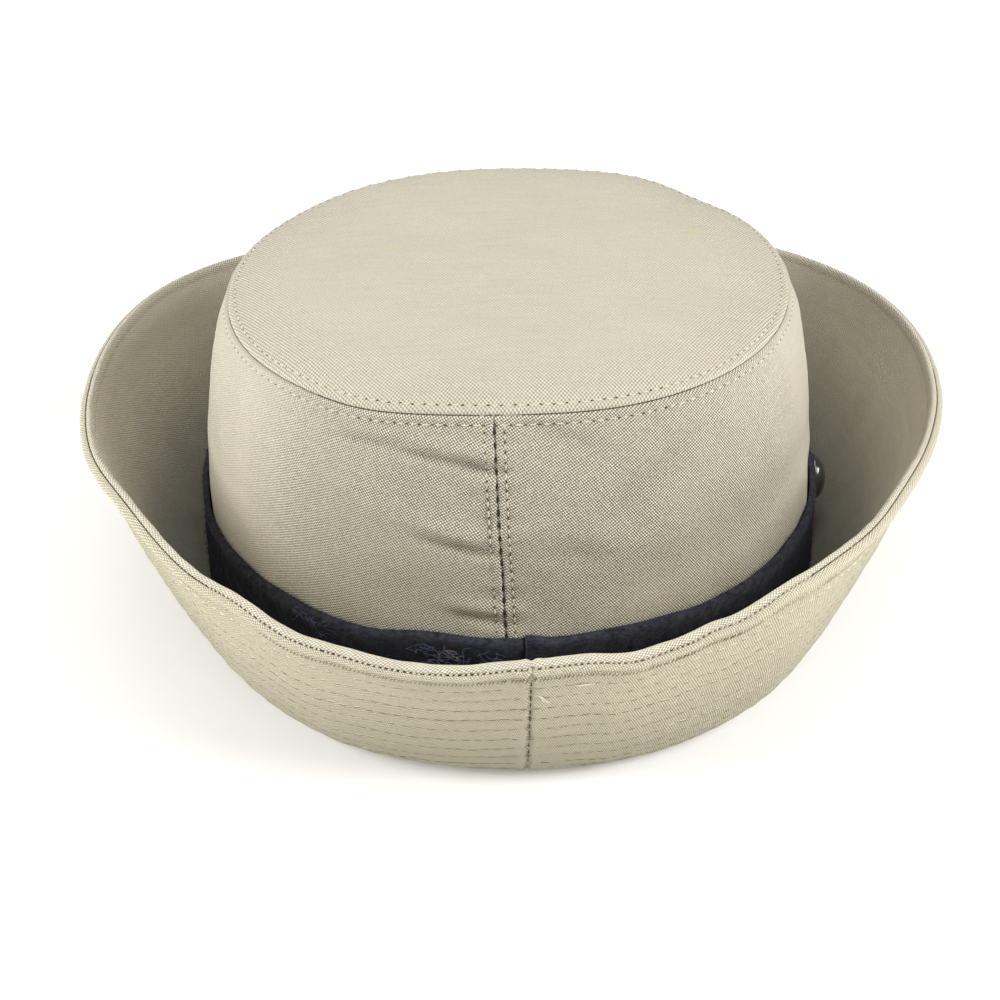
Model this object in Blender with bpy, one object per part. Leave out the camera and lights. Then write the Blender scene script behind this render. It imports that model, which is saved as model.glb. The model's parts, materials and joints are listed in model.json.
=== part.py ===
"""A uniform hat of khaki cotton cloth: flat-topped crown, navy felt band, and a stitched brim that is turned up.

Metres, +Z up, +Y to the front of the hat and +X to the wearer's right. The hat stands on the fold of its
brim, with the origin on the surface under the middle of the brim. A turn is an angle round the hat, in
degrees: 0 at the back seam, 90 at the wearer's right, 180 at the front and 270 at the left.
"""

import math
from collections import namedtuple

import bmesh
import bpy
from mathutils import Vector

# The head that the hat fits, measured inside the crown at the headline, where crown and brim meet.
HEAD_WIDTH = 0.168
HEAD_LENGTH = 0.196
OVAL_POWER = 2.15

# Cloth walls, and the clearance that neighbouring pieces keep.
CROWN_CLOTH = 0.0020
BAND_FELT = 0.0016
BRIM_PLY = 0.0014
PIECE_GAP = 0.0003
SEAM_GAP = 0.0004

# Crown. The tip seam slopes down to the front and up to the wearer's right, and the soft crown leans
# forwards and to the left on its way up.
CROWN_HEIGHT = 0.093
TIP_FRONT_DROP = 0.0056
TIP_RIGHT_RISE = 0.0036
TIP_RISE = 0.0060
CROWN_LEAN_LEFT = 0.0006
CROWN_LEAN_FORWARD = 0.0010
CROWN_SEAM_TURN = 0.6
CROWN_SEAM_LEAN = -2.8

# Band round the foot of the crown, up to a level top edge.
BAND_HEIGHT = 0.0350
BAND_EDGE_ROUND = 0.0005
BAND_LAP_TURN = 2.6

# Brim, measured across from the headline to the rim.
BRIM_WIDTH = 0.062
BRIM_SEAM_TURN = 3.0
BRIM_FOLD_DROP = 0.0030
BRIM_FOLD_OUT = 0.45
BRIM_FLARE_OUT = 0.68
BRIM_FLARE_UP = 0.50
BRIM_FLAT_DEPTH = 0.0009

# Rolled edge of the brim: the upper ply turns over the rim and meets the under ply at a seam outside.
RIM_HALF_THICK = 0.0018
RIM_LIP = 0.0022
RIM_ROLL = 0.0030

# Domed button on the wearer's right of the band.
BUTTON_RADIUS = 0.0070
BUTTON_DOME = 0.0030
BUTTON_RIM = 0.0012
BUTTON_TURN = 91.0
BUTTON_HEIGHT = 0.0270

TURNS = 64
BUTTON_SIDES = 24

# Sections of the crown wall: height is a share of CROWN_HEIGHT, width and length are shares of the
# crown's outside half width and half length at the headline.
CrownSection = namedtuple("CrownSection", "height width length")
CROWN_SECTIONS = (
    CrownSection(height=0.00, width=1.000, length=1.000),
    CrownSection(height=0.35, width=1.000, length=0.985),
    CrownSection(height=0.62, width=0.990, length=0.960),
    CrownSection(height=0.86, width=0.960, length=0.918),
    CrownSection(height=1.00, width=0.915, length=0.876),
)

# Sections of the tip, from its seam to its middle: spread is a share of the seam's oval, rise of TIP_RISE.
TipSection = namedtuple("TipSection", "spread rise")
TIP_SECTIONS = (
    TipSection(spread=1.00, rise=0.00),
    TipSection(spread=0.97, rise=0.28),
    TipSection(spread=0.91, rise=0.52),
    TipSection(spread=0.78, rise=0.74),
    TipSection(spread=0.52, rise=0.92),
    TipSection(spread=0.26, rise=0.98),
    TipSection(spread=0.00, rise=1.00),
)

# Sections of the brim, as shares of BRIM_WIDTH: reach is how far the rim stands out from the headline,
# rise how high it stands, and arch how high the headline stands over its lowest place.
BrimSection = namedtuple("BrimSection", "turn reach rise arch")
BRIM_SECTIONS = (
    BrimSection(turn=0, reach=0.515, rise=0.750, arch=0.00),
    BrimSection(turn=30, reach=0.455, rise=0.830, arch=0.00),
    BrimSection(turn=60, reach=0.475, rise=0.910, arch=0.08),
    BrimSection(turn=90, reach=0.590, rise=0.925, arch=0.18),
    BrimSection(turn=120, reach=0.660, rise=0.905, arch=0.18),
    BrimSection(turn=150, reach=0.650, rise=0.830, arch=0.08),
    BrimSection(turn=180, reach=0.605, rise=0.740, arch=0.00),
    BrimSection(turn=210, reach=0.635, rise=0.800, arch=0.07),
    BrimSection(turn=240, reach=0.630, rise=0.885, arch=0.17),
    BrimSection(turn=270, reach=0.570, rise=0.905, arch=0.17),
    BrimSection(turn=300, reach=0.485, rise=0.905, arch=0.11),
    BrimSection(turn=330, reach=0.480, rise=0.800, arch=0.02),
)

# Colours, roughness and metallic value of each material.
Finish = namedtuple("Finish", "colour roughness metallic")
KHAKI = Finish(colour=(0.60, 0.55, 0.43), roughness=0.85, metallic=0.0)
NAVY = Finish(colour=(0.016, 0.018, 0.030), roughness=0.95, metallic=0.0)
NICKEL = Finish(colour=(0.62, 0.60, 0.56), roughness=0.22, metallic=1.0)

OUTSIDE_HALF_WIDTH = HEAD_WIDTH / 2 + CROWN_CLOTH
OUTSIDE_HALF_LENGTH = HEAD_LENGTH / 2 + CROWN_CLOTH


def through_rows(rows, key, column, at):
    """The column's value on a smooth curve through the table's rows, where the key column equals at."""
    keys = [getattr(row, key) for row in rows]
    values = [getattr(row, column) for row in rows]
    last = len(rows) - 1
    slopes = []
    for i in range(len(rows)):
        before, after = max(i - 1, 0), min(i + 1, last)
        slopes.append((values[after] - values[before]) / (keys[after] - keys[before]))
    i = 0
    while i < last - 1 and (at - keys[i + 1]) * (keys[-1] - keys[0]) > 0:
        i += 1
    span = keys[i + 1] - keys[i]
    t = (at - keys[i]) / span
    return (
        values[i] * (1 + 2 * t) * (1 - t) ** 2
        + slopes[i] * span * t * (1 - t) ** 2
        + values[i + 1] * t * t * (3 - 2 * t)
        + slopes[i + 1] * span * t * t * (t - 1)
    )


def round_rows(rows):
    """The same table with a row before and two after it, so that a curve through it closes on itself."""
    return (
        rows[-1]._replace(turn=rows[-1].turn - 360),
        *rows,
        rows[0]._replace(turn=rows[0].turn + 360),
        rows[1]._replace(turn=rows[1].turn + 360),
    )


BRIM_ROWS = round_rows(BRIM_SECTIONS)


def oval(half_width, half_length, turn):
    """A point of the head's oval, and the way out of it, both level."""
    across, back = math.sin(math.radians(turn)), math.cos(math.radians(turn))
    x = half_width * math.copysign(abs(across) ** (2 / OVAL_POWER), across)
    y = -half_length * math.copysign(abs(back) ** (2 / OVAL_POWER), back)
    out = Vector((
        math.copysign(abs(x / half_width) ** (OVAL_POWER - 1), x) / half_width,
        math.copysign(abs(y / half_length) ** (OVAL_POWER - 1), y) / half_length,
        0.0,
    ))
    return Vector((x, y, 0.0)), out.normalized()


def headline(turn):
    """How high the headline stands at a turn."""
    return through_rows(BRIM_ROWS, "turn", "arch", turn % 360) * BRIM_WIDTH


def crown_point(turn, share):
    """A point on the outside of the crown wall, at a share of its height there."""
    width = through_rows(CROWN_SECTIONS, "height", "width", share)
    length = through_rows(CROWN_SECTIONS, "height", "length", share)
    point, _ = oval(OUTSIDE_HALF_WIDTH * width, OUTSIDE_HALF_LENGTH * length, turn)
    top = CROWN_HEIGHT
    top -= TIP_FRONT_DROP * (1 + point.y / (OUTSIDE_HALF_LENGTH * length)) / 2
    top += TIP_RIGHT_RISE * point.x / (OUTSIDE_HALF_WIDTH * width) / 2
    low = headline(turn)
    lean = Vector((-CROWN_LEAN_LEFT * share, CROWN_LEAN_FORWARD * share, 0))
    return point + lean + Vector((0, 0, low + (top - low) * share))


def crown_share(turn, height):
    """The share of the crown wall's height that lies at a height over the lowest place of the headline."""
    low, top = crown_point(turn, 0).z, crown_point(turn, 1).z
    return (height - low) / (top - low)


def across_line(points, i, out):
    """The way out of the line of points at point i, square to the line and on the side that out points to."""
    along = (points[min(i + 1, len(points) - 1)] - points[max(i - 1, 0)]).normalized()
    return (out - along * out.dot(along)).normalized()


def moved_in(points, i, out, thickness):
    """Point i of a line of points, moved inwards square to the line, or level at either end of it."""
    square = across_line(points, i, out)
    if i in (0, len(points) - 1):
        level = Vector((out.x, out.y, 0)).normalized()
        return points[i] - level * thickness / square.dot(level)
    return points[i] - square * thickness


def wall_section(points, out, thickness):
    """A closed section: the line of points, and back along the same line moved inwards by the thickness."""
    return points + [moved_in(points, i, out, thickness) for i in range(len(points))][::-1]


def strip_turns(start):
    """The turns of a strip that goes all the way round and meets itself at a seam."""
    half_gap = math.degrees(SEAM_GAP / 2 / OUTSIDE_HALF_LENGTH)
    first, last = start + half_gap, start + 360 - half_gap
    return [first + (last - first) * i / TURNS for i in range(TURNS + 1)]


def make_object(name, points, faces, finish):
    """A named object with its own material, smooth where its faces meet gently."""
    mesh = bpy.data.meshes.new(name)
    mesh.from_pydata([tuple(p) for p in points], [], faces)
    form = bmesh.new()
    form.from_mesh(mesh)
    bmesh.ops.recalc_face_normals(form, faces=form.faces)
    form.to_mesh(mesh)
    form.free()
    mesh.shade_smooth()
    mesh.set_sharp_from_angle(angle=math.radians(50))
    material = bpy.data.materials.new(name)
    material.use_nodes = True
    shader = material.node_tree.nodes["Principled BSDF"]
    shader.inputs["Base Color"].default_value = (*finish.colour, 1.0)
    shader.inputs["Roughness"].default_value = finish.roughness
    shader.inputs["Metallic"].default_value = finish.metallic
    mesh.materials.append(material)
    made = bpy.data.objects.new(name, mesh)
    bpy.context.collection.objects.link(made)
    return made


def make_strip(name, sections, finish):
    """A solid swept through closed sections, one after the other, with a cap at each end."""
    size = len(sections[0])
    points = [p for section in sections for p in section]
    faces = []
    for i in range(len(sections) - 1):
        for j in range(size):
            k = (j + 1) % size
            faces.append((i * size + j, i * size + k, (i + 1) * size + k, (i + 1) * size + j))
    faces.append(tuple(range(size))[::-1])
    faces.append(tuple((len(sections) - 1) * size + j for j in range(size)))
    return make_object(name, points, faces, finish)


def make_turned(name, rings, finish):
    """A solid whose skin runs from a first point, over closed rings, to a last point."""
    size = len(rings[1])
    points = [rings[0][0]] + [p for ring in rings[1:-1] for p in ring] + [rings[-1][0]]
    last = len(points) - 1
    faces = []
    for j in range(size):
        k = (j + 1) % size
        faces.append((0, 1 + j, 1 + k))
        for i in range(len(rings) - 3):
            here, below = 1 + i * size, 1 + (i + 1) * size
            faces.append((here + j, below + j, below + k, here + k))
        foot = 1 + (len(rings) - 3) * size
        faces.append((foot + j, last, foot + k))
    return make_object(name, points, faces, finish)


def brim_line(turn):
    """The brim's middle line from the headline to the rim, as a function of a share from 0 to 1."""
    reach = through_rows(BRIM_ROWS, "turn", "reach", turn % 360) * BRIM_WIDTH
    rise = through_rows(BRIM_ROWS, "turn", "rise", turn % 360) * BRIM_WIDTH
    arch = headline(turn)
    foot, out = oval(OUTSIDE_HALF_WIDTH, OUTSIDE_HALF_LENGTH, turn)
    foot.z = arch
    up = Vector((0, 0, 1))
    start = foot - out * CROWN_CLOTH
    fold = foot + out * reach * BRIM_FOLD_OUT - up * BRIM_FOLD_DROP
    flare = foot + out * reach * BRIM_FLARE_OUT + up * (rise - arch) * BRIM_FLARE_UP
    rim = foot + out * reach + up * (rise - arch)

    def at(share):
        rest = 1 - share
        return (
            start * rest**3
            + fold * 3 * share * rest**2
            + flare * 3 * share**2 * rest
            + rim * share**3
        )

    def way(share):
        rest = 1 - share
        along = (
            (fold - start) * rest**2
            + (flare - fold) * 2 * share * rest
            + (rim - flare) * share**2
        )
        return along.normalized()

    return at, way, out


BRIM_SHARES = (0.0, 0.10, 0.20, 0.30, 0.41, 0.53, 0.66, 0.79)


def brim_sections(turn):
    """The closed sections of the upper and the under ply at a turn."""
    at, way, out = brim_line(turn)
    shares = list(BRIM_SHARES)
    lines = [(at(s), way(s)) for s in shares]
    rim, along = at(1.0), way(1.0)
    lines.append((rim - along * (RIM_LIP + RIM_ROLL), along))
    seam = rim - along * RIM_LIP

    def under(way_here):
        """The way out of the underside of the brim, square to the brim."""
        side = way_here.cross(Vector((-out.y, out.x, 0))).normalized()
        return side if side.z < 0 else -side

    half_gap = PIECE_GAP / 2
    down = under(along)
    thick = RIM_HALF_THICK
    top = [p - under(w) * (half_gap + BRIM_PLY) for p, w in lines]
    top.append(seam - down * thick)
    for degrees in (0, 36, 72, 108, 144, 180):
        angle = math.radians(degrees)
        top.append(rim - along * thick - down * thick * math.cos(angle) + along * thick * math.sin(angle))
    top.append(seam + along * half_gap + down * thick * 0.82)
    top.append(seam + along * half_gap - down * half_gap)
    between_top = [p - under(w) * half_gap for p, w in lines][::-1]
    upper = top + between_top

    bottom = [p + under(w) * (half_gap + BRIM_PLY) for p, w in lines]
    bottom.append(seam - along * RIM_ROLL * 0.5 + down * thick)
    bottom.append(seam - along * PIECE_GAP + down * thick * 0.80)
    between_bottom = [seam - along * PIECE_GAP + down * half_gap]
    between_bottom += [p + under(w) * half_gap for p, w in lines][::-1]
    lower = bottom + between_bottom
    return upper, lower


def make_brim():
    """Both plies of the brim, and the height of the surface that they rest on."""
    pairs = [brim_sections(turn) for turn in strip_turns(BRIM_SEAM_TURN)]
    uppers = [pair[0] for pair in pairs]
    lowers = [pair[1] for pair in pairs]
    ground = min(p.z for section in lowers for p in section) + BRIM_FLAT_DEPTH
    for section in lowers:
        for p in section:
            p.z = max(p.z, ground)
    make_strip("brim_upper", uppers, KHAKI)
    make_strip("brim_under", [section[::-1] for section in lowers], KHAKI)
    return ground


def make_crown_side():
    """The crown wall: one strip that meets itself at the back seam and stands on the brim."""
    foot_gap = BRIM_PLY + 1.5 * PIECE_GAP
    shares = [0.0, 0.12, 0.26, 0.40, 0.54, 0.67, 0.79, 0.88, 0.95, 1.0]
    sections = []
    for turn in strip_turns(CROWN_SEAM_TURN):
        line = [crown_point(turn + CROWN_SEAM_LEAN * share, share) for share in shares]
        line[0].z += foot_gap
        _, out = oval(OUTSIDE_HALF_WIDTH, OUTSIDE_HALF_LENGTH, turn)
        sections.append(wall_section(line, out, CROWN_CLOTH))
    make_strip("crown_side", sections, KHAKI)


def tip_point(turn, spread, rise):
    """A point on the outside of the tip, at shares of its seam's oval and of its rise."""
    seam = crown_point(turn, 1.0)
    middle = (crown_point(0, 1.0) + crown_point(180, 1.0)) / 2
    return middle + (seam - middle) * spread + Vector((0, 0, PIECE_GAP + TIP_RISE * rise))


def make_crown_tip():
    """The oval top panel, a shallow dome whose edge meets the crown wall at the tip seam."""
    turns = [360 * i / TURNS for i in range(TURNS)]
    outer, inner = [], []
    for turn in turns:
        line = [tip_point(turn, section.spread, section.rise) for section in TIP_SECTIONS]
        _, out = oval(OUTSIDE_HALF_WIDTH, OUTSIDE_HALF_LENGTH, turn)
        slope = out + Vector((0, 0, 1))
        outer.append(line[:-1])
        inner.append([moved_in(line, j, slope, CROWN_CLOTH) for j in range(len(line) - 1)])
    top = tip_point(0, 0, 1)
    rings = [[top]] + list(zip(*outer))[::-1] + list(zip(*inner)) + [[top - Vector((0, 0, CROWN_CLOTH))]]
    make_turned("crown_tip", rings, KHAKI)


def make_hat_band():
    """The felt band round the foot of the crown, lapped at the back."""
    rows = 4
    sections = []
    for turn in strip_turns(BAND_LAP_TURN):
        _, out = oval(OUTSIDE_HALF_WIDTH, OUTSIDE_HALF_LENGTH, turn)
        outer = PIECE_GAP + BAND_FELT
        foot = crown_share(turn, headline(turn) + BRIM_PLY + 2.5 * PIECE_GAP)
        top = crown_share(turn, BAND_HEIGHT)
        shares = [foot + (top - foot) * i / rows for i in range(rows + 1)]
        line = [crown_point(turn, share) + out * outer for share in shares]
        line[0] += Vector((0, 0, BAND_EDGE_ROUND))
        line[-1] -= Vector((0, 0, BAND_EDGE_ROUND))
        sections.append(wall_section(line, out, BAND_FELT))
    make_strip("hat_band", sections, NAVY)


def make_button():
    """A domed metal button that sits against the band."""
    _, out = oval(OUTSIDE_HALF_WIDTH, OUTSIDE_HALF_LENGTH, BUTTON_TURN)
    seat = crown_point(BUTTON_TURN, crown_share(BUTTON_TURN, BUTTON_HEIGHT))
    seat += out * (2 * PIECE_GAP + BAND_FELT)
    side = Vector((-out.y, out.x, 0))
    up = Vector((0, 0, 1))
    profile = [(0.90, 0.0), (1.0, BUTTON_RIM * 0.5), (0.96, BUTTON_RIM)]
    steps = 5
    for i in range(1, steps):
        angle = math.radians(90 * i / steps)
        profile.append((0.92 * math.cos(angle), BUTTON_RIM + BUTTON_DOME * math.sin(angle)))
    rings = [[seat]]
    for spread, height in profile:
        ring = []
        for i in range(BUTTON_SIDES):
            angle = math.radians(360 * i / BUTTON_SIDES)
            radius = BUTTON_RADIUS * spread
            ring.append(seat + out * height + (side * math.cos(angle) + up * math.sin(angle)) * radius)
        rings.append(ring)
    rings.append([seat + out * (BUTTON_RIM + BUTTON_DOME)])
    make_turned("side_button", rings[::-1], NICKEL)


def settle(ground):
    """Puts the origin on the surface that the hat stands on, under the middle of the brim."""
    brim = bpy.data.objects["brim_upper"].data.vertices
    across = [v.co.x for v in brim]
    along = [v.co.y for v in brim]
    shift = Vector(((min(across) + max(across)) / 2, (min(along) + max(along)) / 2, ground))
    for made in bpy.data.objects:
        for v in made.data.vertices:
            v.co -= shift


def main():
    for old in list(bpy.data.objects):
        bpy.data.objects.remove(old)
    ground = make_brim()
    make_crown_side()
    make_crown_tip()
    make_hat_band()
    make_button()
    settle(ground)


main()
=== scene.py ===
"""Looks of the khaki uniform hat: its cloth, felt band, stitching and metal button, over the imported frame.

Metres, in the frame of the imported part: +Y to the front of the hat, +X to the wearer's right, +Z up. Shapes
are worked out about the middle of the head, and moved by HAT_MIDDLE when a mesh is made. A turn is an angle
round the hat in degrees: 0 at the back, 90 at the wearer's right, 180 at the front, 270 at the left.
"""

import json
import math
from collections import namedtuple

import bmesh
import bpy
import numpy as np
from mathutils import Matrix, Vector

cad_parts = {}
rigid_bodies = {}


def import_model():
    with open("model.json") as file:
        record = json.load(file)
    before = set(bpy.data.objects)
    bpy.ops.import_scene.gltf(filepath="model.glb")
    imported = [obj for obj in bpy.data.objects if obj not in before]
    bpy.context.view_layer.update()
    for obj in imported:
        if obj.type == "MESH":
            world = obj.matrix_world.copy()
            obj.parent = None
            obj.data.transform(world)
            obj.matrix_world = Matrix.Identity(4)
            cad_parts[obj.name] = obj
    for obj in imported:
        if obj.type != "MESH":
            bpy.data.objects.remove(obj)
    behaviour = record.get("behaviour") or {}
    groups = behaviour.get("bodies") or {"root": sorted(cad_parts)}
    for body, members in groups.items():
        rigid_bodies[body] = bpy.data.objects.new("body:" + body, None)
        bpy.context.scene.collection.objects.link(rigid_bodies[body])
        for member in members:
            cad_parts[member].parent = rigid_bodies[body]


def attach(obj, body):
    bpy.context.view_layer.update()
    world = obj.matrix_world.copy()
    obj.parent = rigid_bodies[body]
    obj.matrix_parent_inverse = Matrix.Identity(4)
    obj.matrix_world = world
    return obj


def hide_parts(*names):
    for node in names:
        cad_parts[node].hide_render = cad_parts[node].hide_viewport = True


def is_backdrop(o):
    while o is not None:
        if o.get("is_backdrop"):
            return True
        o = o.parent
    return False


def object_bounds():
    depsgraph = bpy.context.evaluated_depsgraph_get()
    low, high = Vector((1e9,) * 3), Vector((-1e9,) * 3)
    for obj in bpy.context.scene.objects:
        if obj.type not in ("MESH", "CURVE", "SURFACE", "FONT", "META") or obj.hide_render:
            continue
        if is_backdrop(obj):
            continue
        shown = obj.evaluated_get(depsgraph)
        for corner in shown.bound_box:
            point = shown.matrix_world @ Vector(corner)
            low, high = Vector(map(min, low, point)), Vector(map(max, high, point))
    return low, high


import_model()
CAD_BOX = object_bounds()

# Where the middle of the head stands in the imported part, and the sizes that the part was built to.
HAT_MIDDLE = np.array((-0.000685, -0.002783, 0.001036))
HEAD_WIDTH = 0.168
HEAD_LENGTH = 0.196
OVAL_POWER = 2.15
CROWN_CLOTH = 0.0020
BAND_FELT = 0.0016
BRIM_PLY = 0.0014
PIECE_GAP = 0.0003
CROWN_HEIGHT = 0.093
TIP_FRONT_DROP = 0.0056
TIP_RIGHT_RISE = 0.0036
TIP_RISE = 0.0060
CROWN_LEAN_LEFT = 0.0006
CROWN_LEAN_FORWARD = 0.0010
CROWN_SEAM_TURN = 0.6
CROWN_SEAM_LEAN = -2.8
BAND_HEIGHT = 0.0350
BAND_LAP_TURN = 2.0
BRIM_WIDTH = 0.062
BRIM_SEAM_TURN = 2.1
BRIM_FOLD_DROP = 0.0030
BRIM_FOLD_OUT = 0.45
BRIM_FLARE_OUT = 0.68
BRIM_FLARE_UP = 0.50
BUTTON_RADIUS = 0.0070
BUTTON_DOME = 0.0030
BUTTON_RIM = 0.0012
BUTTON_TURN = 91.0
BUTTON_HEIGHT = 0.0270

OUTSIDE_HALF_WIDTH = HEAD_WIDTH / 2 + CROWN_CLOTH
OUTSIDE_HALF_LENGTH = HEAD_LENGTH / 2 + CROWN_CLOTH

# Rough lengths of the cloth: the felt band's height from its foot, the way from the tip seam to the tip's
# middle, the rim and the quilted face against the headline, and a degree of turn at the crown and at the rim.
BAND_FACE = 0.031
TIP_HALF = 0.082
RIM_LONGER = 1.2
FACE_LONGER = 1.22
CROWN_DEGREE = 0.0017
RIM_DEGREE = 0.0020

# Crown wall: height is a share of CROWN_HEIGHT, width and length are shares of the outside half sizes.
CrownSection = namedtuple("CrownSection", "height width length")
CROWN_SECTIONS = (
    CrownSection(height=0.00, width=1.000, length=1.000),
    CrownSection(height=0.35, width=1.000, length=0.985),
    CrownSection(height=0.62, width=0.990, length=0.960),
    CrownSection(height=0.86, width=0.960, length=0.918),
    CrownSection(height=1.00, width=0.915, length=0.876),
)

# Crown tip: spread is a share of the tip seam's oval, rise a share of TIP_RISE.
TipSection = namedtuple("TipSection", "spread rise")
TIP_SECTIONS = (
    TipSection(spread=0.00, rise=1.00),
    TipSection(spread=0.26, rise=0.98),
    TipSection(spread=0.52, rise=0.92),
    TipSection(spread=0.78, rise=0.71),
    TipSection(spread=0.91, rise=0.47),
    TipSection(spread=0.97, rise=0.23),
    TipSection(spread=1.00, rise=0.00),
)

# Brim, in shares of BRIM_WIDTH: how far the rim reaches out, how high it stands, and the headline's arch.
BrimSection = namedtuple("BrimSection", "turn reach rise arch")
BRIM_SECTIONS = (
    BrimSection(turn=0, reach=0.515, rise=0.750, arch=0.00),
    BrimSection(turn=30, reach=0.455, rise=0.830, arch=0.00),
    BrimSection(turn=60, reach=0.475, rise=0.910, arch=0.08),
    BrimSection(turn=90, reach=0.590, rise=0.925, arch=0.18),
    BrimSection(turn=120, reach=0.660, rise=0.905, arch=0.18),
    BrimSection(turn=150, reach=0.650, rise=0.830, arch=0.08),
    BrimSection(turn=180, reach=0.605, rise=0.740, arch=0.00),
    BrimSection(turn=210, reach=0.635, rise=0.800, arch=0.07),
    BrimSection(turn=240, reach=0.630, rise=0.885, arch=0.17),
    BrimSection(turn=270, reach=0.570, rise=0.905, arch=0.17),
    BrimSection(turn=300, reach=0.485, rise=0.905, arch=0.11),
    BrimSection(turn=330, reach=0.480, rise=0.800, arch=0.02),
)

# Small waves of the rim and of the tip seam: how much higher the edge stands, and how wide each wave is.
Wave = namedtuple("Wave", "turn rise wide")
RIM_WAVES = (
    Wave(turn=298, rise=0.0008, wide=6),
    Wave(turn=314, rise=-0.0008, wide=6),
    Wave(turn=324, rise=0.0013, wide=3.6),
    Wave(turn=333.5, rise=-0.0015, wide=3.4),
    Wave(turn=345, rise=-0.0011, wide=6),
    Wave(turn=2, rise=0.0022, wide=4.4),
    Wave(turn=8.5, rise=0.0013, wide=2.8),
    Wave(turn=14, rise=-0.0008, wide=2.4),
    Wave(turn=20.5, rise=-0.0005, wide=3),
    Wave(turn=24.5, rise=0.0006, wide=1.5),
    Wave(turn=28, rise=-0.0004, wide=2),
    Wave(turn=36.5, rise=0.0014, wide=3.4),
    Wave(turn=44, rise=0.0008, wide=4),
    Wave(turn=56, rise=-0.0010, wide=5),
    Wave(turn=66, rise=0.0009, wide=5),
)
# How much further out the rim's end and the flare of the brim stand at small bulges of the brim.
Spread = namedtuple("Spread", "turn rim flare wide")
SPREADS = (
    Spread(turn=351, rim=0.0, flare=-0.0036, wide=8),
    Spread(turn=333, rim=0.0, flare=0.0012, wide=6),
    Spread(turn=305, rim=0.0, flare=-0.0046, wide=10),
    Spread(turn=288, rim=0.0009, flare=0.0, wide=7),
    Spread(turn=256, rim=-0.0008, flare=0.0, wide=12),
    Spread(turn=41, rim=0.0, flare=0.0040, wide=6),
    Spread(turn=59, rim=0.0, flare=-0.0034, wide=9),
    Spread(turn=16, rim=0.0, flare=-0.0018, wide=6),
    Spread(turn=79, rim=-0.0007, flare=0.0, wide=7),
)
BAND_WAVES = (
    Wave(turn=287, rise=-0.0026, wide=7),
    Wave(turn=308, rise=-0.0006, wide=6),
    Wave(turn=328, rise=-0.0012, wide=5),
    Wave(turn=338, rise=-0.0010, wide=4),
    Wave(turn=347, rise=0.0013, wide=5),
    Wave(turn=3, rise=-0.0004, wide=4),
    Wave(turn=24, rise=0.0013, wide=14),
    Wave(turn=56, rise=0.0012, wide=10),
)
TIP_WAVES = (
    Wave(turn=118, rise=-0.0008, wide=10),
    Wave(turn=134, rise=-0.0013, wide=7),
    Wave(turn=154, rise=0.0005, wide=9),
    Wave(turn=200, rise=0.0004, wide=20),
    Wave(turn=238, rise=-0.0010, wide=14),
    Wave(turn=332, rise=-0.0008, wide=8),
    Wave(turn=359, rise=0.0009, wide=12),
)

# Creases and soft puffs of the crown wall: middle, length along and width across the crease, slant, depth.
Dent = namedtuple("Dent", "turn height along across slant out")
CREASE_DEPTH = 0.0022
CROWN_DENTS = (
    Dent(turn=-25, height=0.919, along=0.016, across=0.0017, slant=1, out=-0.0010),
    Dent(turn=-12, height=0.889, along=0.018, across=0.0018, slant=-9, out=-0.0019),
    Dent(turn=-4, height=0.861, along=0.008, across=0.0021, slant=-12, out=-0.0015),
    Dent(turn=-13, height=0.915, along=0.024, across=0.0036, slant=-9, out=0.0007),
    Dent(turn=-7.5, height=0.636, along=0.015, across=0.0020, slant=-12, out=-0.0017),
    Dent(turn=-8, height=0.672, along=0.020, across=0.0040, slant=-12, out=0.0009),
    Dent(turn=-5, height=0.429, along=0.009, across=0.0018, slant=-8, out=-0.0013),
    Dent(turn=-5, height=0.461, along=0.014, across=0.0036, slant=-8, out=0.0008),
    Dent(turn=9, height=0.615, along=0.026, across=0.0050, slant=-8, out=-0.0007),
    Dent(turn=10, height=0.936, along=0.018, across=0.0030, slant=-16, out=-0.0008),
    Dent(turn=24, height=0.80, along=0.024, across=0.0070, slant=28, out=-0.0007),
    Dent(turn=52, height=0.55, along=0.050, across=0.0260, slant=0, out=-0.0008),
    Dent(turn=306, height=0.60, along=0.050, across=0.0260, slant=0, out=0.0007),
    Dent(turn=205, height=0.60, along=0.040, across=0.0200, slant=20, out=-0.0009),
    Dent(turn=160, height=0.55, along=0.040, across=0.0180, slant=-15, out=-0.0009),
)

# The rolled rim in section, at the hat's back and at its sides and front, where the seam of the two plies is
# on top of the edge. back is the way back from the rim's end, out the way out from the middle of the brim,
# below zero on the side that faces the crown.
RollPoint = namedtuple("RollPoint", "back out side_back side_out")
UPPER_ROLL = (
    RollPoint(back=0.0078, out=-0.00155, side_back=0.0078, side_out=-0.00155),
    RollPoint(back=0.0058, out=-0.00158, side_back=0.0050, side_out=-0.00150),
    RollPoint(back=0.0042, out=-0.00175, side_back=0.0032, side_out=-0.00152),
    RollPoint(back=0.0029, out=-0.00195, side_back=0.0024, side_out=-0.00180),
    RollPoint(back=0.0018, out=-0.00195, side_back=0.0016, side_out=-0.00195),
    RollPoint(back=0.0009, out=-0.00165, side_back=0.0008, side_out=-0.00182),
    RollPoint(back=0.0003, out=-0.00105, side_back=0.0002, side_out=-0.00145),
    RollPoint(back=0.0000, out=-0.00020, side_back=0.0000, side_out=-0.00095),
    RollPoint(back=0.0001, out=0.00050, side_back=0.0000, side_out=-0.00028),
    RollPoint(back=0.0004, out=0.00095, side_back=0.0002, side_out=-0.00012),
    RollPoint(back=0.0009, out=0.00110, side_back=0.0005, side_out=-0.00007),
    RollPoint(back=0.0013, out=0.00090, side_back=0.0007, side_out=-0.00003),
    RollPoint(back=0.0015, out=0.00045, side_back=0.0009, side_out=0.00000),
    RollPoint(back=0.0016, out=0.00010, side_back=0.0011, side_out=0.00003),
)
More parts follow.
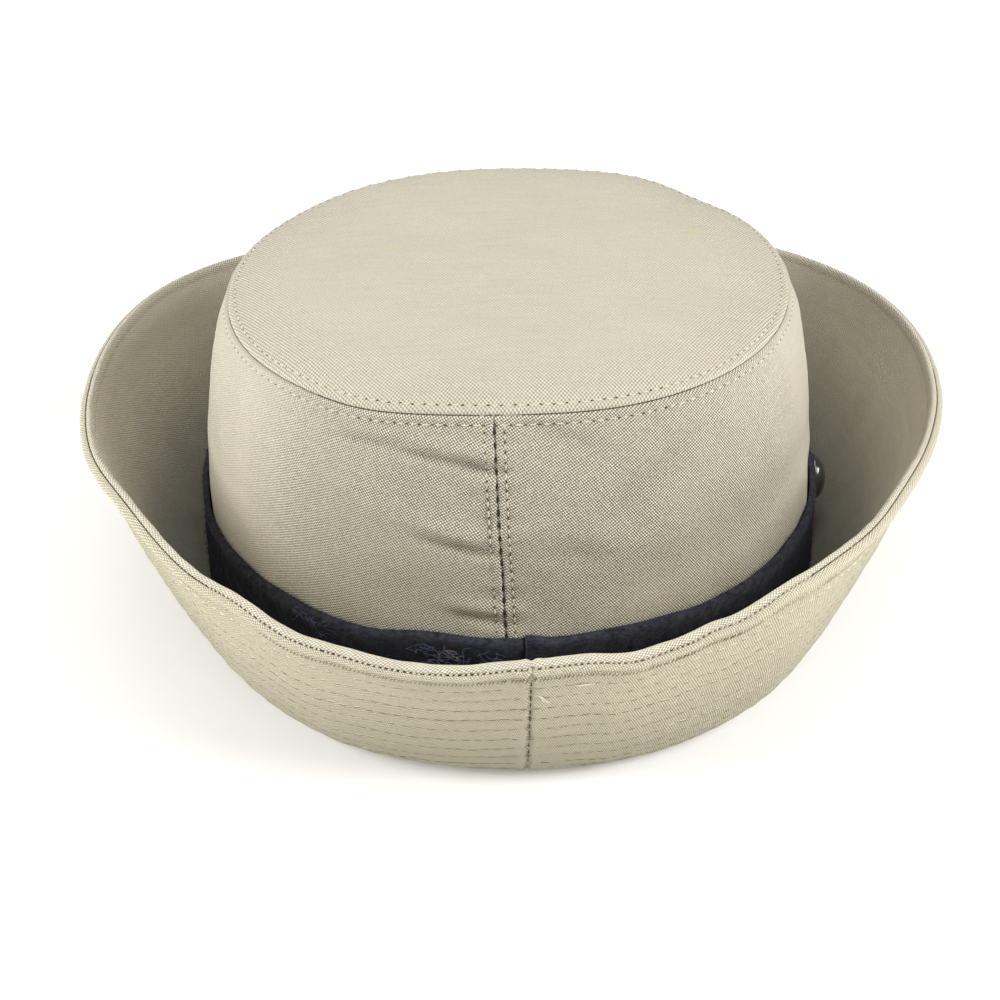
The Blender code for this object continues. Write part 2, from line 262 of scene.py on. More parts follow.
LOWER_ROLL = (
    RollPoint(back=0.0018, out=0.00015, side_back=0.0012, side_out=0.00014),
    RollPoint(back=0.0017, out=0.00070, side_back=0.0008, side_out=0.00010),
    RollPoint(back=0.0014, out=0.00120, side_back=0.0003, side_out=0.00012),
    RollPoint(back=0.0011, out=0.00155, side_back=0.0000, side_out=0.00028),
    RollPoint(back=0.0011, out=0.00195, side_back=0.0000, side_out=0.00095),
    RollPoint(back=0.0015, out=0.00230, side_back=0.0002, side_out=0.00165),
    RollPoint(back=0.0021, out=0.00240, side_back=0.0007, side_out=0.00220),
    RollPoint(back=0.0028, out=0.00228, side_back=0.0015, side_out=0.00245),
    RollPoint(back=0.0034, out=0.00195, side_back=0.0025, side_out=0.00236),
    RollPoint(back=0.0037, out=0.00178, side_back=0.0034, side_out=0.00212),
    RollPoint(back=0.0041, out=0.00196, side_back=0.0040, side_out=0.00200),
    RollPoint(back=0.0049, out=0.00204, side_back=0.0048, side_out=0.00202),
    RollPoint(back=0.0057, out=0.00190, side_back=0.0057, side_out=0.00196),
    RollPoint(back=0.0063, out=0.00160, side_back=0.0063, side_out=0.00186),
    RollPoint(back=0.0069, out=0.00155, side_back=0.0069, side_out=0.00173),
)
BACK_ROLL_TURN = 15.0
SIDE_ROLL_TURN = 62.0
UPPER_ROLL_POINTS = 30
LOWER_ROLL_POINTS = 32
LOWER_ROLL_START = -0.0010
RIDGE_BACK = 0.0049
RIDGE_OUT = 0.0020
FACE_OUT = 0.00155

# Pale thread ends on the brim's outer face: way back from the rim's end, way further back at the other end.
ThreadEnd = namedtuple("ThreadEnd", "turn back slope length count")
PALE_ENDS = (
    ThreadEnd(turn=7.0, back=0.0094, slope=-0.0003, length=0.0028, count=3),
    ThreadEnd(turn=2.9, back=0.0122, slope=0.0030, length=0.0010, count=4),
)

# Rows of stitching round the brim, from the first row behind the rolled rim, and the puffs between them.
QUILT_START = 0.0092
QUILT_PITCH = 0.0046
QUILT_ROWS = 11
QUILT_END = QUILT_START + QUILT_ROWS * QUILT_PITCH
QUILT_PUFF = 0.00045
INNER_QUILT_PUFF = 0.00008

# Seams: the groove where two edges meet, and the puff of cloth up to the row of stitching beside it. The
# cloth's soft unevenness fades near a seam.
WALL_SEAM_DEPTH = 0.0006
TIP_SEAM_DEPTH = 0.0010
SEAM_HALF = 0.00032
SEAM_PUFF = 0.00020
SEAM_FADE = 0.0035
STITCH_AWAY = 0.0025
BRIM_SEAM_DEPTH = 0.0007
BRIM_SEAM_HALF = 0.0005
BRIM_SEAM_PUFF = 0.00025

# The felt band's edge: how far its roll stands out, and the step and groove where its end laps over.
BAND_ROLL = 0.00055
BAND_LAP_STEP = 0.0009
BAND_LAP_GROOVE = 0.0006

# Small gathers along the stitching beside a seam.
Pucker = namedtuple("Pucker", "depth half pitch")
WALL_PUCKER = Pucker(depth=0.00016, half=0.0025, pitch=0.0068)
TIP_PUCKER = Pucker(depth=0.00010, half=0.0015, pitch=0.0080)

SEED = 7
# Soft, even unevenness of each cloth: how deep and how wide its waves are.
Soft = namedtuple("Soft", "depth size seed")
WALL_SOFT = Soft(depth=0.00028, size=0.024, seed=SEED)
TIP_SOFT = Soft(depth=0.00030, size=0.034, seed=SEED + 1)
BAND_EDGE_SOFT = Soft(depth=0.00025, size=0.030, seed=SEED + 2)
BAND_NAP = Soft(depth=0.00016, size=0.0045, seed=SEED + 3)
BAND_SOFT = Soft(depth=0.00022, size=0.016, seed=SEED + 4)
UPPER_ROLL_SOFT = Soft(depth=0.00012, size=0.010, seed=SEED + 5)
FACE_SOFT = Soft(depth=0.00016, size=0.009, seed=SEED + 6)
LOWER_ROLL_SOFT = Soft(depth=0.00010, size=0.008, seed=SEED + 8)

# How far apart stitches are: those of the tip and the brim, those beside the crown's back seam, the dashes in
# that seam and in the brim's, the shade in the tip seam, and the stitches on the rim's seam and its ridge.
STITCH_PITCH = 0.0034
TIP_PITCH = STITCH_PITCH * 1.09
SEAM_PITCH = 0.0024
BACK_SEAM_PITCH = 0.0034
BRIM_SEAM_PITCH = 0.0031
SHADE_PITCH = 0.0011
RIM_PITCH = 0.00135
RIDGE_PITCH = 0.00092
# The first stitch beside the back seam, as a share of the wall's height.
SEAM_FOOT = 0.040

# Twill weaves: slant of the ribs and of the steps between floats, in degrees, and how far apart they are.
Weave = namedtuple("Weave", "rib_slant rib_pitch step_slant step_pitch")
SIDE_WEAVE = Weave(rib_slant=27, rib_pitch=0.00068, step_slant=-50, step_pitch=0.00062)
TIP_WEAVE = Weave(rib_slant=62, rib_pitch=0.00083, step_slant=-57, step_pitch=0.00089)
FACE_WEAVE = Weave(rib_slant=24, rib_pitch=0.00060, step_slant=-64, step_pitch=0.00056)
TIP_SPOTS = ((-0.036, 0.010, 0.096), (0.052, 0.022, 0.096))

# Threads, fibres, and the shade between stitches.
Yarn = namedtuple("Yarn", "colour roughness")
YARNS = {
    "khaki_thread": Yarn(colour=(0.66, 0.61, 0.47), roughness=0.80),
    "tip_thread": Yarn(colour=(0.78, 0.73, 0.59), roughness=0.80),
    # The pale yarn: for the real thread ends, and as painted light on the brim's side stitches.
    "pale_thread": Yarn(colour=(0.90, 0.86, 0.74), roughness=0.80),
    "brown_thread": Yarn(colour=(0.200, 0.160, 0.100), roughness=0.90),
    "ridge_thread": Yarn(colour=(0.300, 0.272, 0.195), roughness=0.90),
    "olive_stitch_shade": Yarn(colour=(0.200, 0.185, 0.130), roughness=0.90),
    "seam_thread": Yarn(colour=(0.090, 0.084, 0.058), roughness=0.90),
    "dark_thread": Yarn(colour=(0.035, 0.033, 0.030), roughness=0.85),
    "navy_felt_fibre": Yarn(colour=(0.048, 0.052, 0.080), roughness=0.95),
    "blue_fibre": Yarn(colour=(0.105, 0.125, 0.215), roughness=0.90),
    "pink_fibre": Yarn(colour=(0.230, 0.185, 0.230), roughness=0.90),
}

# Pieces of stitching. rows is a name in stitch_rows. A piece lies between least and most degrees from the
# back, either way round, and length, width and height are those of one stitch.
Stitching = namedtuple("Stitching", "piece rows least most yarn length width height slot")
STITCHINGS = (
    Stitching(piece="crown_stitches", rows="back_seam_sides", least=0, most=181, yarn="khaki_thread",
              length=0.0019, width=0.00055, height=0.0006, slot="khaki_side"),
    Stitching(piece="tip_stitches", rows="tip_seam_sides", least=0, most=181, yarn="tip_thread",
              length=0.0020, width=0.00050, height=0.0005, slot="khaki_side"),
    Stitching(piece="crown_needle_holes", rows="needle_holes", least=0, most=32, yarn="seam_thread",
              length=0.0009, width=0.00048, height=0.0007, slot="khaki_side"),
    Stitching(piece="tip_needle_holes", rows="needle_holes", least=32, most=181, yarn="ridge_thread",
              length=0.0008, width=0.00040, height=0.0006, slot="khaki_side"),
    Stitching(piece="back_seam_stitches", rows="back_seam", least=0, most=181, yarn="dark_thread",
              length=0.0019, width=0.00044, height=0.0008, slot="navy_band"),
    Stitching(piece="tip_seam_shade", rows="tip_seam", least=0, most=40, yarn="seam_thread",
              length=0.0014, width=0.00036, height=0.0003, slot="khaki_side"),
    Stitching(piece="tip_side_shade", rows="tip_seam", least=40, most=78, yarn="olive_stitch_shade",
              length=0.0012, width=0.00026, height=0.0002, slot="khaki_side"),
    Stitching(piece="brim_stitches", rows="quilting", least=0, most=20, yarn="khaki_thread",
              length=0.0025, width=0.00028, height=0.0003, slot="khaki_brim_under"),
    # Painted light: the brim's stitches at the sides take a paler yarn than those at the back, for the light
    # they catch; the thread is the same.
    Stitching(piece="brim_side_stitches", rows="quilting", least=20, most=181, yarn="pale_thread",
              length=0.0025, width=0.00034, height=0.0004, slot="khaki_brim_under"),
    Stitching(piece="brim_stitch_shade", rows="quilting_shade", least=0, most=36, yarn="olive_stitch_shade",
              length=0.0024, width=0.00015, height=0.0002, slot="khaki_brim_under"),
    Stitching(piece="brim_side_shade", rows="quilting_shade", least=36, most=60, yarn="ridge_thread",
              length=0.0022, width=0.00012, height=0.0002, slot="khaki_brim_under"),
    Stitching(piece="rim_ridge_stitches", rows="rim_ridge", least=0, most=34, yarn="ridge_thread",
              length=0.0018, width=0.00036, height=0.0004, slot="khaki_brim_under"),
    Stitching(piece="rim_ridge_side_stitches", rows="rim_ridge", least=34, most=181, yarn="khaki_thread",
              length=0.0018, width=0.00030, height=0.0004, slot="khaki_brim_under"),
    Stitching(piece="rim_seam_stitches", rows="rim_seam", least=0, most=42, yarn="khaki_thread",
              length=0.0015, width=0.00074, height=0.0006, slot="khaki_brim_under"),
    Stitching(piece="rim_seam_side_stitches", rows="rim_seam", least=42, most=95, yarn="brown_thread",
              length=0.0010, width=0.00034, height=0.0004, slot="khaki_brim_under"),
    Stitching(piece="rim_seam_front_stitches", rows="rim_seam", least=95, most=181, yarn="khaki_thread",
              length=0.0010, width=0.00030, height=0.0002, slot="khaki_brim_under"),
    Stitching(piece="brim_seam_stitches", rows="brim_seam", least=0, most=181, yarn="seam_thread",
              length=0.0022, width=0.00036, height=0.0004, slot="navy_band"),
)

# Frayed threads on the band, left of its lap: how many, and between which turns, shares and lengths.
Fray = namedtuple("Fray", "count turns shares lengths")
BLUE_FRAYS = (
    Fray(count=24, turns=(-17, 0), shares=(0.74, 0.90), lengths=(0.002, 0.008)),
    Fray(count=14, turns=(-40, -32), shares=(0.80, 0.92), lengths=(0.002, 0.005)),
)
PINK_FRAYS = (Fray(count=5, turns=(-14, -9), shares=(0.76, 0.88), lengths=(0.003, 0.006)),)
FRAY_RADIUS = 0.00007
END_RADIUS = 0.00010

# The camera, with its lens in millimetres and its rise in degrees, the lights, in watts, and the floor.
CAMERA_LENS = 98.2
CAMERA_RISE = 29.4
CAMERA_AWAY = 0.8
CAMERA_TARGET = (-0.0035, -0.00275, 0.0216)
Lamp = namedtuple("Lamp", "name place size power")
LAMPS = (
    Lamp(name="light_over", place=(0.0, 0.10, 1.4), size=1.0, power=5.9),
    Lamp(name="light_left", place=(-1.3, -0.30, 0.60), size=0.8, power=20.9),
    Lamp(name="light_right", place=(1.15, -0.42, 0.78), size=0.8, power=21.2),
)
LAMP_TARGET = (0.0, 0.0, 0.05)
SURROUND_LIGHT = 0.16
WHITE = (1.0, 1.0, 1.0, 1.0)
FLOOR_COLOUR = (0.93, 0.93, 0.93, 1.0)
FLOOR_GLOW = 0.17
FLOOR_HALF = 6.0

# How many sections each piece has round the hat, and the steps by which slopes are measured: of turn, in
# degrees, and of the share up the wall, over the tip and up the band.
CROWN_TURNS = 560
BRIM_TURNS = 640
BAND_TURNS = 560
TURN_STEP = 0.1
WALL_STEP = 0.004
TIP_STEP = 0.002
BAND_STEP = 0.01


def through_rows(rows, key, column, at):
    """The column's value on a smooth curve through the table's rows, where the key column equals at."""
    keys = np.arange(len(rows)) if key is None else np.array([getattr(row, key) for row in rows], float)
    values = np.array([getattr(row, column) for row in rows], float)
    last = len(rows) - 1
    before = np.maximum(np.arange(last + 1) - 1, 0)
    after = np.minimum(np.arange(last + 1) + 1, last)
    slopes = (values[after] - values[before]) / (keys[after] - keys[before])
    i = np.clip(np.searchsorted(keys, at, side="right") - 1, 0, last - 1)
    span = keys[i + 1] - keys[i]
    t = (at - keys[i]) / span
    return (
        values[i] * (1 + 2 * t) * (1 - t) ** 2
        + slopes[i] * span * t * (1 - t) ** 2
        + values[i + 1] * t * t * (3 - 2 * t)
        + slopes[i + 1] * span * t * t * (t - 1)
    )


def round_rows(rows):
    """The same table with a row before and two after it, so that a curve through it closes on itself."""
    return (
        rows[-1]._replace(turn=rows[-1].turn - 360),
        *rows,
        rows[0]._replace(turn=rows[0].turn + 360),
        rows[1]._replace(turn=rows[1].turn + 360),
    )


BRIM_ROWS = round_rows(BRIM_SECTIONS)


def turn_apart(turn, middle):
    """How far a turn is from another, in degrees, the short way round."""
    return (np.asarray(turn) - middle + 180) % 360 - 180


def bell(x, half):
    """A smooth bump of height 1, that has faded by about three times its half width."""
    return np.exp(-0.5 * (np.asarray(x) / half) ** 2)


def waves(rows, turn, column="rise"):
    """How much an edge is moved by its waves: how much higher it stands, or what another column holds."""
    return sum(getattr(row, column) * bell(turn_apart(turn, row.turn), row.wide) for row in rows)


def stack(x, y, z):
    """Points from their three coordinates."""
    return np.stack(np.broadcast_arrays(x, y, z), -1)


def unit(vectors):
    """The same vectors with a length of 1."""
    return vectors / np.maximum(np.linalg.norm(vectors, axis=-1, keepdims=True), 1e-12)


def oval(half_width, half_length, turn):
    """Points of the head's oval, and the way out of it, both level."""
    across, back = np.sin(np.radians(turn)), np.cos(np.radians(turn))
    x = half_width * np.sign(across) * np.abs(across) ** (2 / OVAL_POWER)
    y = -half_length * np.sign(back) * np.abs(back) ** (2 / OVAL_POWER)
    out_x = np.sign(x) * np.abs(x / half_width) ** (OVAL_POWER - 1) / half_width
    out_y = np.sign(y) * np.abs(y / half_length) ** (OVAL_POWER - 1) / half_length
    return stack(x, y, 0.0), unit(stack(out_x, out_y, 0.0))


def headline(turn):
    """How high the headline stands at a turn."""
    return through_rows(BRIM_ROWS, "turn", "arch", np.asarray(turn) % 360) * BRIM_WIDTH


def crown_point(turn, share):
    """Points on the smooth outside of the crown wall, at a share of its height."""
    turn, share = np.broadcast_arrays(np.asarray(turn, float), np.asarray(share, float))
    width = through_rows(CROWN_SECTIONS, "height", "width", share) * OUTSIDE_HALF_WIDTH
    length = through_rows(CROWN_SECTIONS, "height", "length", share) * OUTSIDE_HALF_LENGTH
    point, _ = oval(width, length, turn)
    top = CROWN_HEIGHT - TIP_FRONT_DROP * (1 + point[..., 1] / length) / 2
    top = top + TIP_RIGHT_RISE * point[..., 0] / width / 2 + waves(TIP_WAVES, turn)
    low = headline(turn)
    return point + stack(-CROWN_LEAN_LEFT * share, CROWN_LEAN_FORWARD * share, low + (top - low) * share)


def crown_share(turn, height):
    """The share of the crown wall's height that lies at a height over the lowest place of the headline."""
    low, top = crown_point(turn, 0.0)[..., 2], crown_point(turn, 1.0)[..., 2]
    return (height - low) / (top - low)


ROUND = np.linspace(0.0, 360.0, 1441)
ROUND_STEPS = np.linalg.norm(np.diff(oval(OUTSIDE_HALF_WIDTH, OUTSIDE_HALF_LENGTH, ROUND)[0], axis=0), axis=1)
ROUND_LENGTHS = np.concatenate(([0.0], np.cumsum(ROUND_STEPS)))
WHOLE_ROUND = ROUND_LENGTHS[-1]


def way_round(turn):
    """How far round the headline a turn lies from the back, in metres."""
    times = np.floor(np.asarray(turn) / 360)
    return np.interp(turn - 360 * times, ROUND, ROUND_LENGTHS) + times * WHOLE_ROUND


def turn_at(way):
    """The turn that lies a way round the headline from the back, in metres."""
    times = np.floor(np.asarray(way) / WHOLE_ROUND)
    return np.interp(way - WHOLE_ROUND * times, ROUND_LENGTHS, ROUND) + times * 360


def ripple(u, v, soft):
    """An even, soft, random ripple, from crossed waves."""
    rng = np.random.default_rng(soft.seed)
    total = 0.0
    for _ in range(9):
        angle, phase = rng.uniform(0, 2 * math.pi, 2)
        scale = 2 * math.pi / soft.size * rng.uniform(0.6, 1.7)
        total = total + np.sin(scale * (u * math.cos(angle) + v * math.sin(angle)) + phase)
    return soft.depth * (total / 4.0)


def dents(turn, height):
    """How far the creases and puffs move the crown wall outwards."""
    out = 0.0
    for dent in CROWN_DENTS:
        level = np.radians(turn_apart(turn, dent.turn)) * OUTSIDE_HALF_LENGTH
        up = (height - dent.height) * CROWN_HEIGHT
        slant = math.radians(dent.slant)
        along = level * math.cos(slant) + up * math.sin(slant)
        across = up * math.cos(slant) - level * math.sin(slant)
        out = out + dent.out * bell(along, dent.along / 2) * bell(across, dent.across / 2)
    return out


def seam_relief(away, depth):
    """How far cloth beside a seam stands out: a groove at the seam and a puff up to the stitching."""
    away = np.abs(away)
    groove = -depth * bell(away, SEAM_HALF)
    puff = SEAM_PUFF * bell(away - STITCH_AWAY * 0.5, STITCH_AWAY * 0.3)
    pulled = -SEAM_PUFF * 0.8 * bell(away - STITCH_AWAY, STITCH_AWAY * 0.18)
    return groove + puff + pulled


def puckered(away, along, pucker):
    """Gathers along the row of stitching beside a seam."""
    return pucker.depth * bell(away - STITCH_AWAY, pucker.half) * np.sin(along * 2 * math.pi / pucker.pitch)


def on_surface(base, relief, turn, share, step):
    """Points of a surface with its relief, the way round, and the way out.

    base and relief both take a turn and a share.
    """
    turn, share = np.broadcast_arrays(np.asarray(turn, float), np.asarray(share, float))
    along = base(turn + TURN_STEP, share) - base(turn - TURN_STEP, share)
    up = base(turn, share + step) - base(turn, share - step)
    out = unit(np.cross(along, up))
    return base(turn, share) + out * relief(turn, share)[..., None], unit(along), out


def inside_of(base, turn, share, step):
    """Points on the plain inner side of the crown's cloth."""
    return on_surface(base, lambda turn, share: share * 0 - CROWN_CLOTH, turn, share, step)[0]


def wall_base(turn, share):
    """The smooth outside of the crown wall, where the back seam is at one turn all the way up."""
    return crown_point(turn + CROWN_SEAM_LEAN * share, share)


def wall_relief(turn, share):
    """Relief of the crown wall: its back seam, the tip seam's edge, creases and a soft ripple."""
    here = turn + CROWN_SEAM_LEAN * share
    away = wall_base(turn, share)[..., 0] - wall_base(CROWN_SEAM_TURN, share)[..., 0]
    away = np.where(np.abs(turn_apart(turn, CROWN_SEAM_TURN)) < 40, away, 1.0)
    height = share * CROWN_HEIGHT
    below = (1 - share) * CROWN_HEIGHT
    soft = ripple(way_round(here), height, WALL_SOFT) * (1 - bell(below, SEAM_FADE))
    seams = seam_relief(away, WALL_SEAM_DEPTH) + seam_relief(below, WALL_SEAM_DEPTH)
    return seams + dents(here, share) + soft + puckered(np.abs(away), height, WALL_PUCKER)


def wall_at(turn, share):
    """The outside of the crown wall."""
    return on_surface(wall_base, wall_relief, turn, share, WALL_STEP)


def tip_base(turn, edge):
    """The smooth outside of the tip. edge is 0 at the tip seam and 1 in the middle."""
    seam = crown_point(turn, np.ones_like(turn))
    middle = (crown_point(0.0, 1.0) + crown_point(180.0, 1.0)) / 2
    rise = through_rows(TIP_SECTIONS, "spread", "rise", 1 - edge)
    return middle + (seam - middle) * (1 - edge)[..., None] + stack(0.0, 0.0, PIECE_GAP + TIP_RISE * rise)


def tip_relief(turn, edge):
    """Relief of the tip: its seam, and a soft ripple that fades at the seam."""
    here = tip_base(turn, edge)
    size = np.linalg.norm((here - tip_base(turn, np.zeros_like(edge)))[..., :2], axis=-1)
    soft = ripple(here[..., 0], here[..., 1], TIP_SOFT) * (1 - bell(size, SEAM_FADE))
    return seam_relief(size, TIP_SEAM_DEPTH) + soft + puckered(size, way_round(turn), TIP_PUCKER)


def tip_at(turn, edge):
    """The outside of the tip."""
    return on_surface(tip_base, tip_relief, turn, edge, TIP_STEP)


def brim_frame(turn, back):
    """Middle of the brim at turns (a list), and at ways back from the rim's end (a row for each turn).

    Gives the points, the way round, and the way out of the brim's outer face.
    """
    turn = np.asarray(turn, float)
    rise = through_rows(BRIM_ROWS, "turn", "rise", turn % 360) * BRIM_WIDTH
    reach = (through_rows(BRIM_ROWS, "turn", "reach", turn % 360) * BRIM_WIDTH)[:, None]
    flare = reach * BRIM_FLARE_OUT + waves(SPREADS, turn, "flare")[:, None]
    reach = reach + waves(SPREADS, turn, "rim")[:, None]
    low = headline(turn)
    high = (rise - low + waves(RIM_WAVES, turn))[:, None]
    foot, out = oval(OUTSIDE_HALF_WIDTH, OUTSIDE_HALF_LENGTH, turn)
    foot = foot + stack(0.0, 0.0, low)
    up = np.array((0.0, 0.0, 1.0))
    corners = (
        foot - out * CROWN_CLOTH,
        foot + out * reach * BRIM_FOLD_OUT - up * BRIM_FOLD_DROP,
        foot + out * flare + up * high * BRIM_FLARE_UP,
        foot + out * reach + up * high,
    )
    share = np.linspace(0.0, 1.0, 161)[:, None]
    blend = ((1 - share) ** 3, 3 * share * (1 - share) ** 2, 3 * share**2 * (1 - share), share**3)
    points = np.empty((len(turn), back.shape[-1], 3))
    ways = np.empty_like(points)
    for i in range(len(turn)):
        line = sum(b * corner[i] for b, corner in zip(blend, corners))[::-1]
        run = np.concatenate(([0.0], np.cumsum(np.linalg.norm(np.diff(line, axis=0), axis=1))))
        at = back[i] if back.ndim == 2 else back
        slope = np.gradient(line, run, axis=0)
        for k in range(3):
            points[i, :, k] = np.interp(at, run, line[:, k])
            ways[i, :, k] = np.interp(at, run, slope[:, k])
    level = np.broadcast_to(unit(stack(-out[:, 1], out[:, 0], 0.0))[:, None, :], ways.shape)
    outer = unit(np.cross(level, ways))
    facing = np.sum(outer * (out[:, None, :] - 2 * up), -1, keepdims=True)
    return points, level, np.where(facing < 0, -outer, outer)


def brim_length(turn):
    """The length of the brim's middle line at turns, from the rim's end to the headline."""
    points, _, _ = brim_frame(turn, np.linspace(0.0, 0.110, 111))
    return np.linalg.norm(np.diff(points, axis=1), axis=2).sum(1)


def quilt_relief(back, depth):
    """Puffs between the rows of stitching round the brim, with a narrow pulled-in line at each row."""
    row = (back - QUILT_START) / QUILT_PITCH
    inside = (row > -0.45) & (row < QUILT_ROWS - 0.5)
    puff = (np.abs(np.sin(math.pi * row)) ** 0.55 - 0.75) * np.clip(0.35 + 0.5 * row, 0.2, 1.0)
    return np.where(inside, depth * puff, 0.0)


def brim_seam_relief(points, turn):
    """The groove of the brim's own back seam, by the way from it at the same distance from the rim."""
    seam = np.array([np.interp(BRIM_SEAM_TURN, turn, points[:, j, 0]) for j in range(points.shape[1])])
    if len(turn) == 1:
        return np.zeros(points.shape[:2])
    away = points[..., 0] - seam[None, :]
    away = np.where(np.abs(turn_apart(turn, BRIM_SEAM_TURN))[:, None] < 40, away, 1.0)
    puff = BRIM_SEAM_PUFF * bell(np.abs(away) - 0.0016, 0.0008)
    return puff - BRIM_SEAM_DEPTH * bell(away, BRIM_SEAM_HALF)


def turns_with_seam(count, seam_turn):
    """Turns all the way round, closer together beside a seam."""
    near = np.array((0.0, 0.10, 0.21, 0.34, 0.50, 0.69, 0.92, 1.20, 1.52, 1.88, 2.28))
    even = np.linspace(2.7, 357.3, count)
    return seam_turn + np.concatenate((near, even, (360 - near[1:])[::-1]))


# Ways from an edge of cloth to its first, close rows of points.
EDGE_STEPS = np.array((0.0, 0.0002, 0.0004, 0.0007, 0.0010, 0.0014, 0.0019, 0.0024, 0.0029, 0.0035, 0.0043))


def placed(name, data):
    """A new object in the scene, which holds the data."""
    made = bpy.data.objects.new(name, data)
    bpy.context.scene.collection.objects.link(made)
    return made


def cloth_object(name, points, faces, corners, material, creased=None):
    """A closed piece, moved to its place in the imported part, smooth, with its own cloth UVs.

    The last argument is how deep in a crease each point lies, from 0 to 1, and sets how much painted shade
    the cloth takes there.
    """
    mesh = bpy.data.meshes.new(name)
    mesh.from_pydata((points + HAT_MIDDLE).tolist(), [], faces)
    layer = mesh.uv_layers.new(name="cloth")
    layer.data.foreach_set("uv", np.asarray(corners, np.float32).reshape(-1))
    if creased is not None:
        mesh.attributes.new("creased", "FLOAT", "POINT").data.foreach_set("value", creased.astype(np.float32))
    form = bmesh.new()
    form.from_mesh(mesh)
    bmesh.ops.recalc_face_normals(form, faces=form.faces)
    form.to_mesh(mesh)
    form.free()
    mesh.shade_smooth()
    mesh.materials.append(material)
    return placed(name, mesh)


def turned_cloth(name, grid, uv, material, wrap=(0.0, 0.0), poles=False, creased=None):
    """A closed piece from sections set all the way round. grid is turns by section points.

    A section is a loop, or with poles an open line whose two ends close on a point each. wrap is what one
    whole turn adds to the UVs.
    """
    rows, size = grid.shape[:2]
    uv = np.concatenate((uv, uv[:1] + np.array(wrap)))
    across = np.arange(size - 1 if poles else size)
    i, j = np.meshgrid(np.arange(rows), across, indexing="ij")
    ends = ((i, j), (i + 1, j), (i + 1, (j + 1) % size), (i, (j + 1) % size))
    quads = np.stack([np.stack(end, -1) for end in ends], -2).reshape(-1, 4, 2)
    faces = ((quads[..., 0] % rows) * size + quads[..., 1]).tolist()
    corners = [uv[quads[..., 0], quads[..., 1]].reshape(-1, 2)]
    points = grid.reshape(-1, 3)
    if poles:
        for end, column in ((0, 0), (1, size - 1)):
            for row in range(rows):
                faces.append((rows * size + end, row * size + column, (row + 1) % rows * size + column))
                corners.append(np.stack((uv[:-1, column].mean(0), uv[row, column], uv[row + 1, column])))
        points = np.concatenate((points, [grid[:, 0].mean(0), grid[:, -1].mean(0)]))
    return cloth_object(name, points, faces, np.concatenate(corners), material, creased)


def make_crown_side(material):
    """The crown wall: cloth with its back seam, the puffs beside it and soft creases."""
    turns = turns_with_seam(CROWN_TURNS, CROWN_SEAM_TURN)
    foot = (BRIM_PLY + 1.5 * PIECE_GAP) / CROWN_HEIGHT
    shares = np.concatenate((np.linspace(foot, 0.948, 126), 1 - EDGE_STEPS[::-1] / CROWN_HEIGHT))
    outside, _, _ = wall_at(turns[:, None], shares[None, :])
    inner_shares = np.linspace(0.995, foot, 9)
    inner = inside_of(wall_base, turns[:, None], inner_shares, WALL_STEP)
    shares = np.concatenate((shares, inner_shares))
    here = turns[:, None] + CROWN_SEAM_LEAN * shares
    uv = np.stack((way_round(here), np.broadcast_to(shares * CROWN_HEIGHT, here.shape)), -1)
    grid = np.concatenate((outside, inner), 1)
    is_outside = np.arange(len(shares)) < outside.shape[1]
    # How deep each point lies in a crease, which sets the painted shade in the crown's creases.
    creased = (np.clip(-dents(here, shares) / CREASE_DEPTH, 0.0, 1.0) * is_outside).reshape(-1)
    return turned_cloth("crown_side_cloth", grid, uv, material, (WHOLE_ROUND, 0.0), creased=creased)


def dome_uv(grid):
    """UVs that follow the dome out from its middle, so that its cloth isn't stretched at the edge."""
    level = grid[..., :2] - grid[:, -1:, :2].mean(0)
    steps = np.linalg.norm(np.diff(grid[:, ::-1], axis=1), axis=-1)
    way = np.concatenate((np.linalg.norm(level[:, -1:], axis=-1), steps), 1).cumsum(1)[:, ::-1]
    return unit(level) * way[..., None]


def make_crown_tip(material):
    """The oval top panel: a shallow dome whose edge turns down into the tip seam."""
    turns = np.linspace(0.0, 360.0, CROWN_TURNS + 1)[:-1]
    edges = np.concatenate((EDGE_STEPS / TIP_HALF, np.linspace(0.062, 0.985, 64)))
    outside, _, _ = tip_at(turns[:, None], edges[None, :])
    inner_edges = np.array((0.006, 0.03, 0.08, 0.2, 0.4, 0.6, 0.8, 0.985))
    inner = inside_of(tip_base, turns[:, None], inner_edges, TIP_STEP)
    grid = np.concatenate((inner[:, ::-1], outside), 1)
    return turned_cloth("crown_tip_cloth", grid, dome_uv(grid), material, poles=True)


def band_base(turn, share):
    """The smooth outside of the felt band. share is 0 at its foot and 1 at its top edge."""
    low = crown_share(turn, headline(turn) + BRIM_PLY + 2.5 * PIECE_GAP)
    lap = turn_apart(turn, BAND_LAP_TURN)
    wander = ripple(way_round(turn), 0.0, BAND_EDGE_SOFT) + waves(BAND_WAVES, turn)
    wander = wander + 0.0012 * np.where(lap > 0, bell(lap - 0.7, 1.6), 0.0)
    top = crown_share(turn, BAND_HEIGHT + wander)
    _, out = oval(OUTSIDE_HALF_WIDTH, OUTSIDE_HALF_LENGTH, turn)
    return crown_point(turn, low + (top - low) * share) + out * (PIECE_GAP + BAND_FELT)


def band_relief(turn, share):
    """Relief of the felt: a rolled upper edge, the lap at the back, and an uneven nap."""
    edge = (1 - share) * BAND_FACE
    roll = BAND_ROLL * bell(edge - 0.0016, 0.0011) - 2 * BAND_ROLL * bell(edge, 0.0005)
    lap = turn_apart(turn, BAND_LAP_TURN)
    step = BAND_LAP_STEP * np.where(lap > 0, bell(lap - 0.6, 2.6), 0.0) * np.clip(lap / 0.15, 0, 1)
    groove = -BAND_LAP_GROOVE * bell(lap, 0.22)
    nap = ripple(way_round(turn), share * BAND_FACE, BAND_NAP)
    nap = nap + ripple(way_round(turn), share * BAND_FACE, BAND_SOFT)
    return roll + step + groove + nap


def band_at(turn, share):
    """The outside of the felt band."""
    return on_surface(band_base, band_relief, turn, share, BAND_STEP)


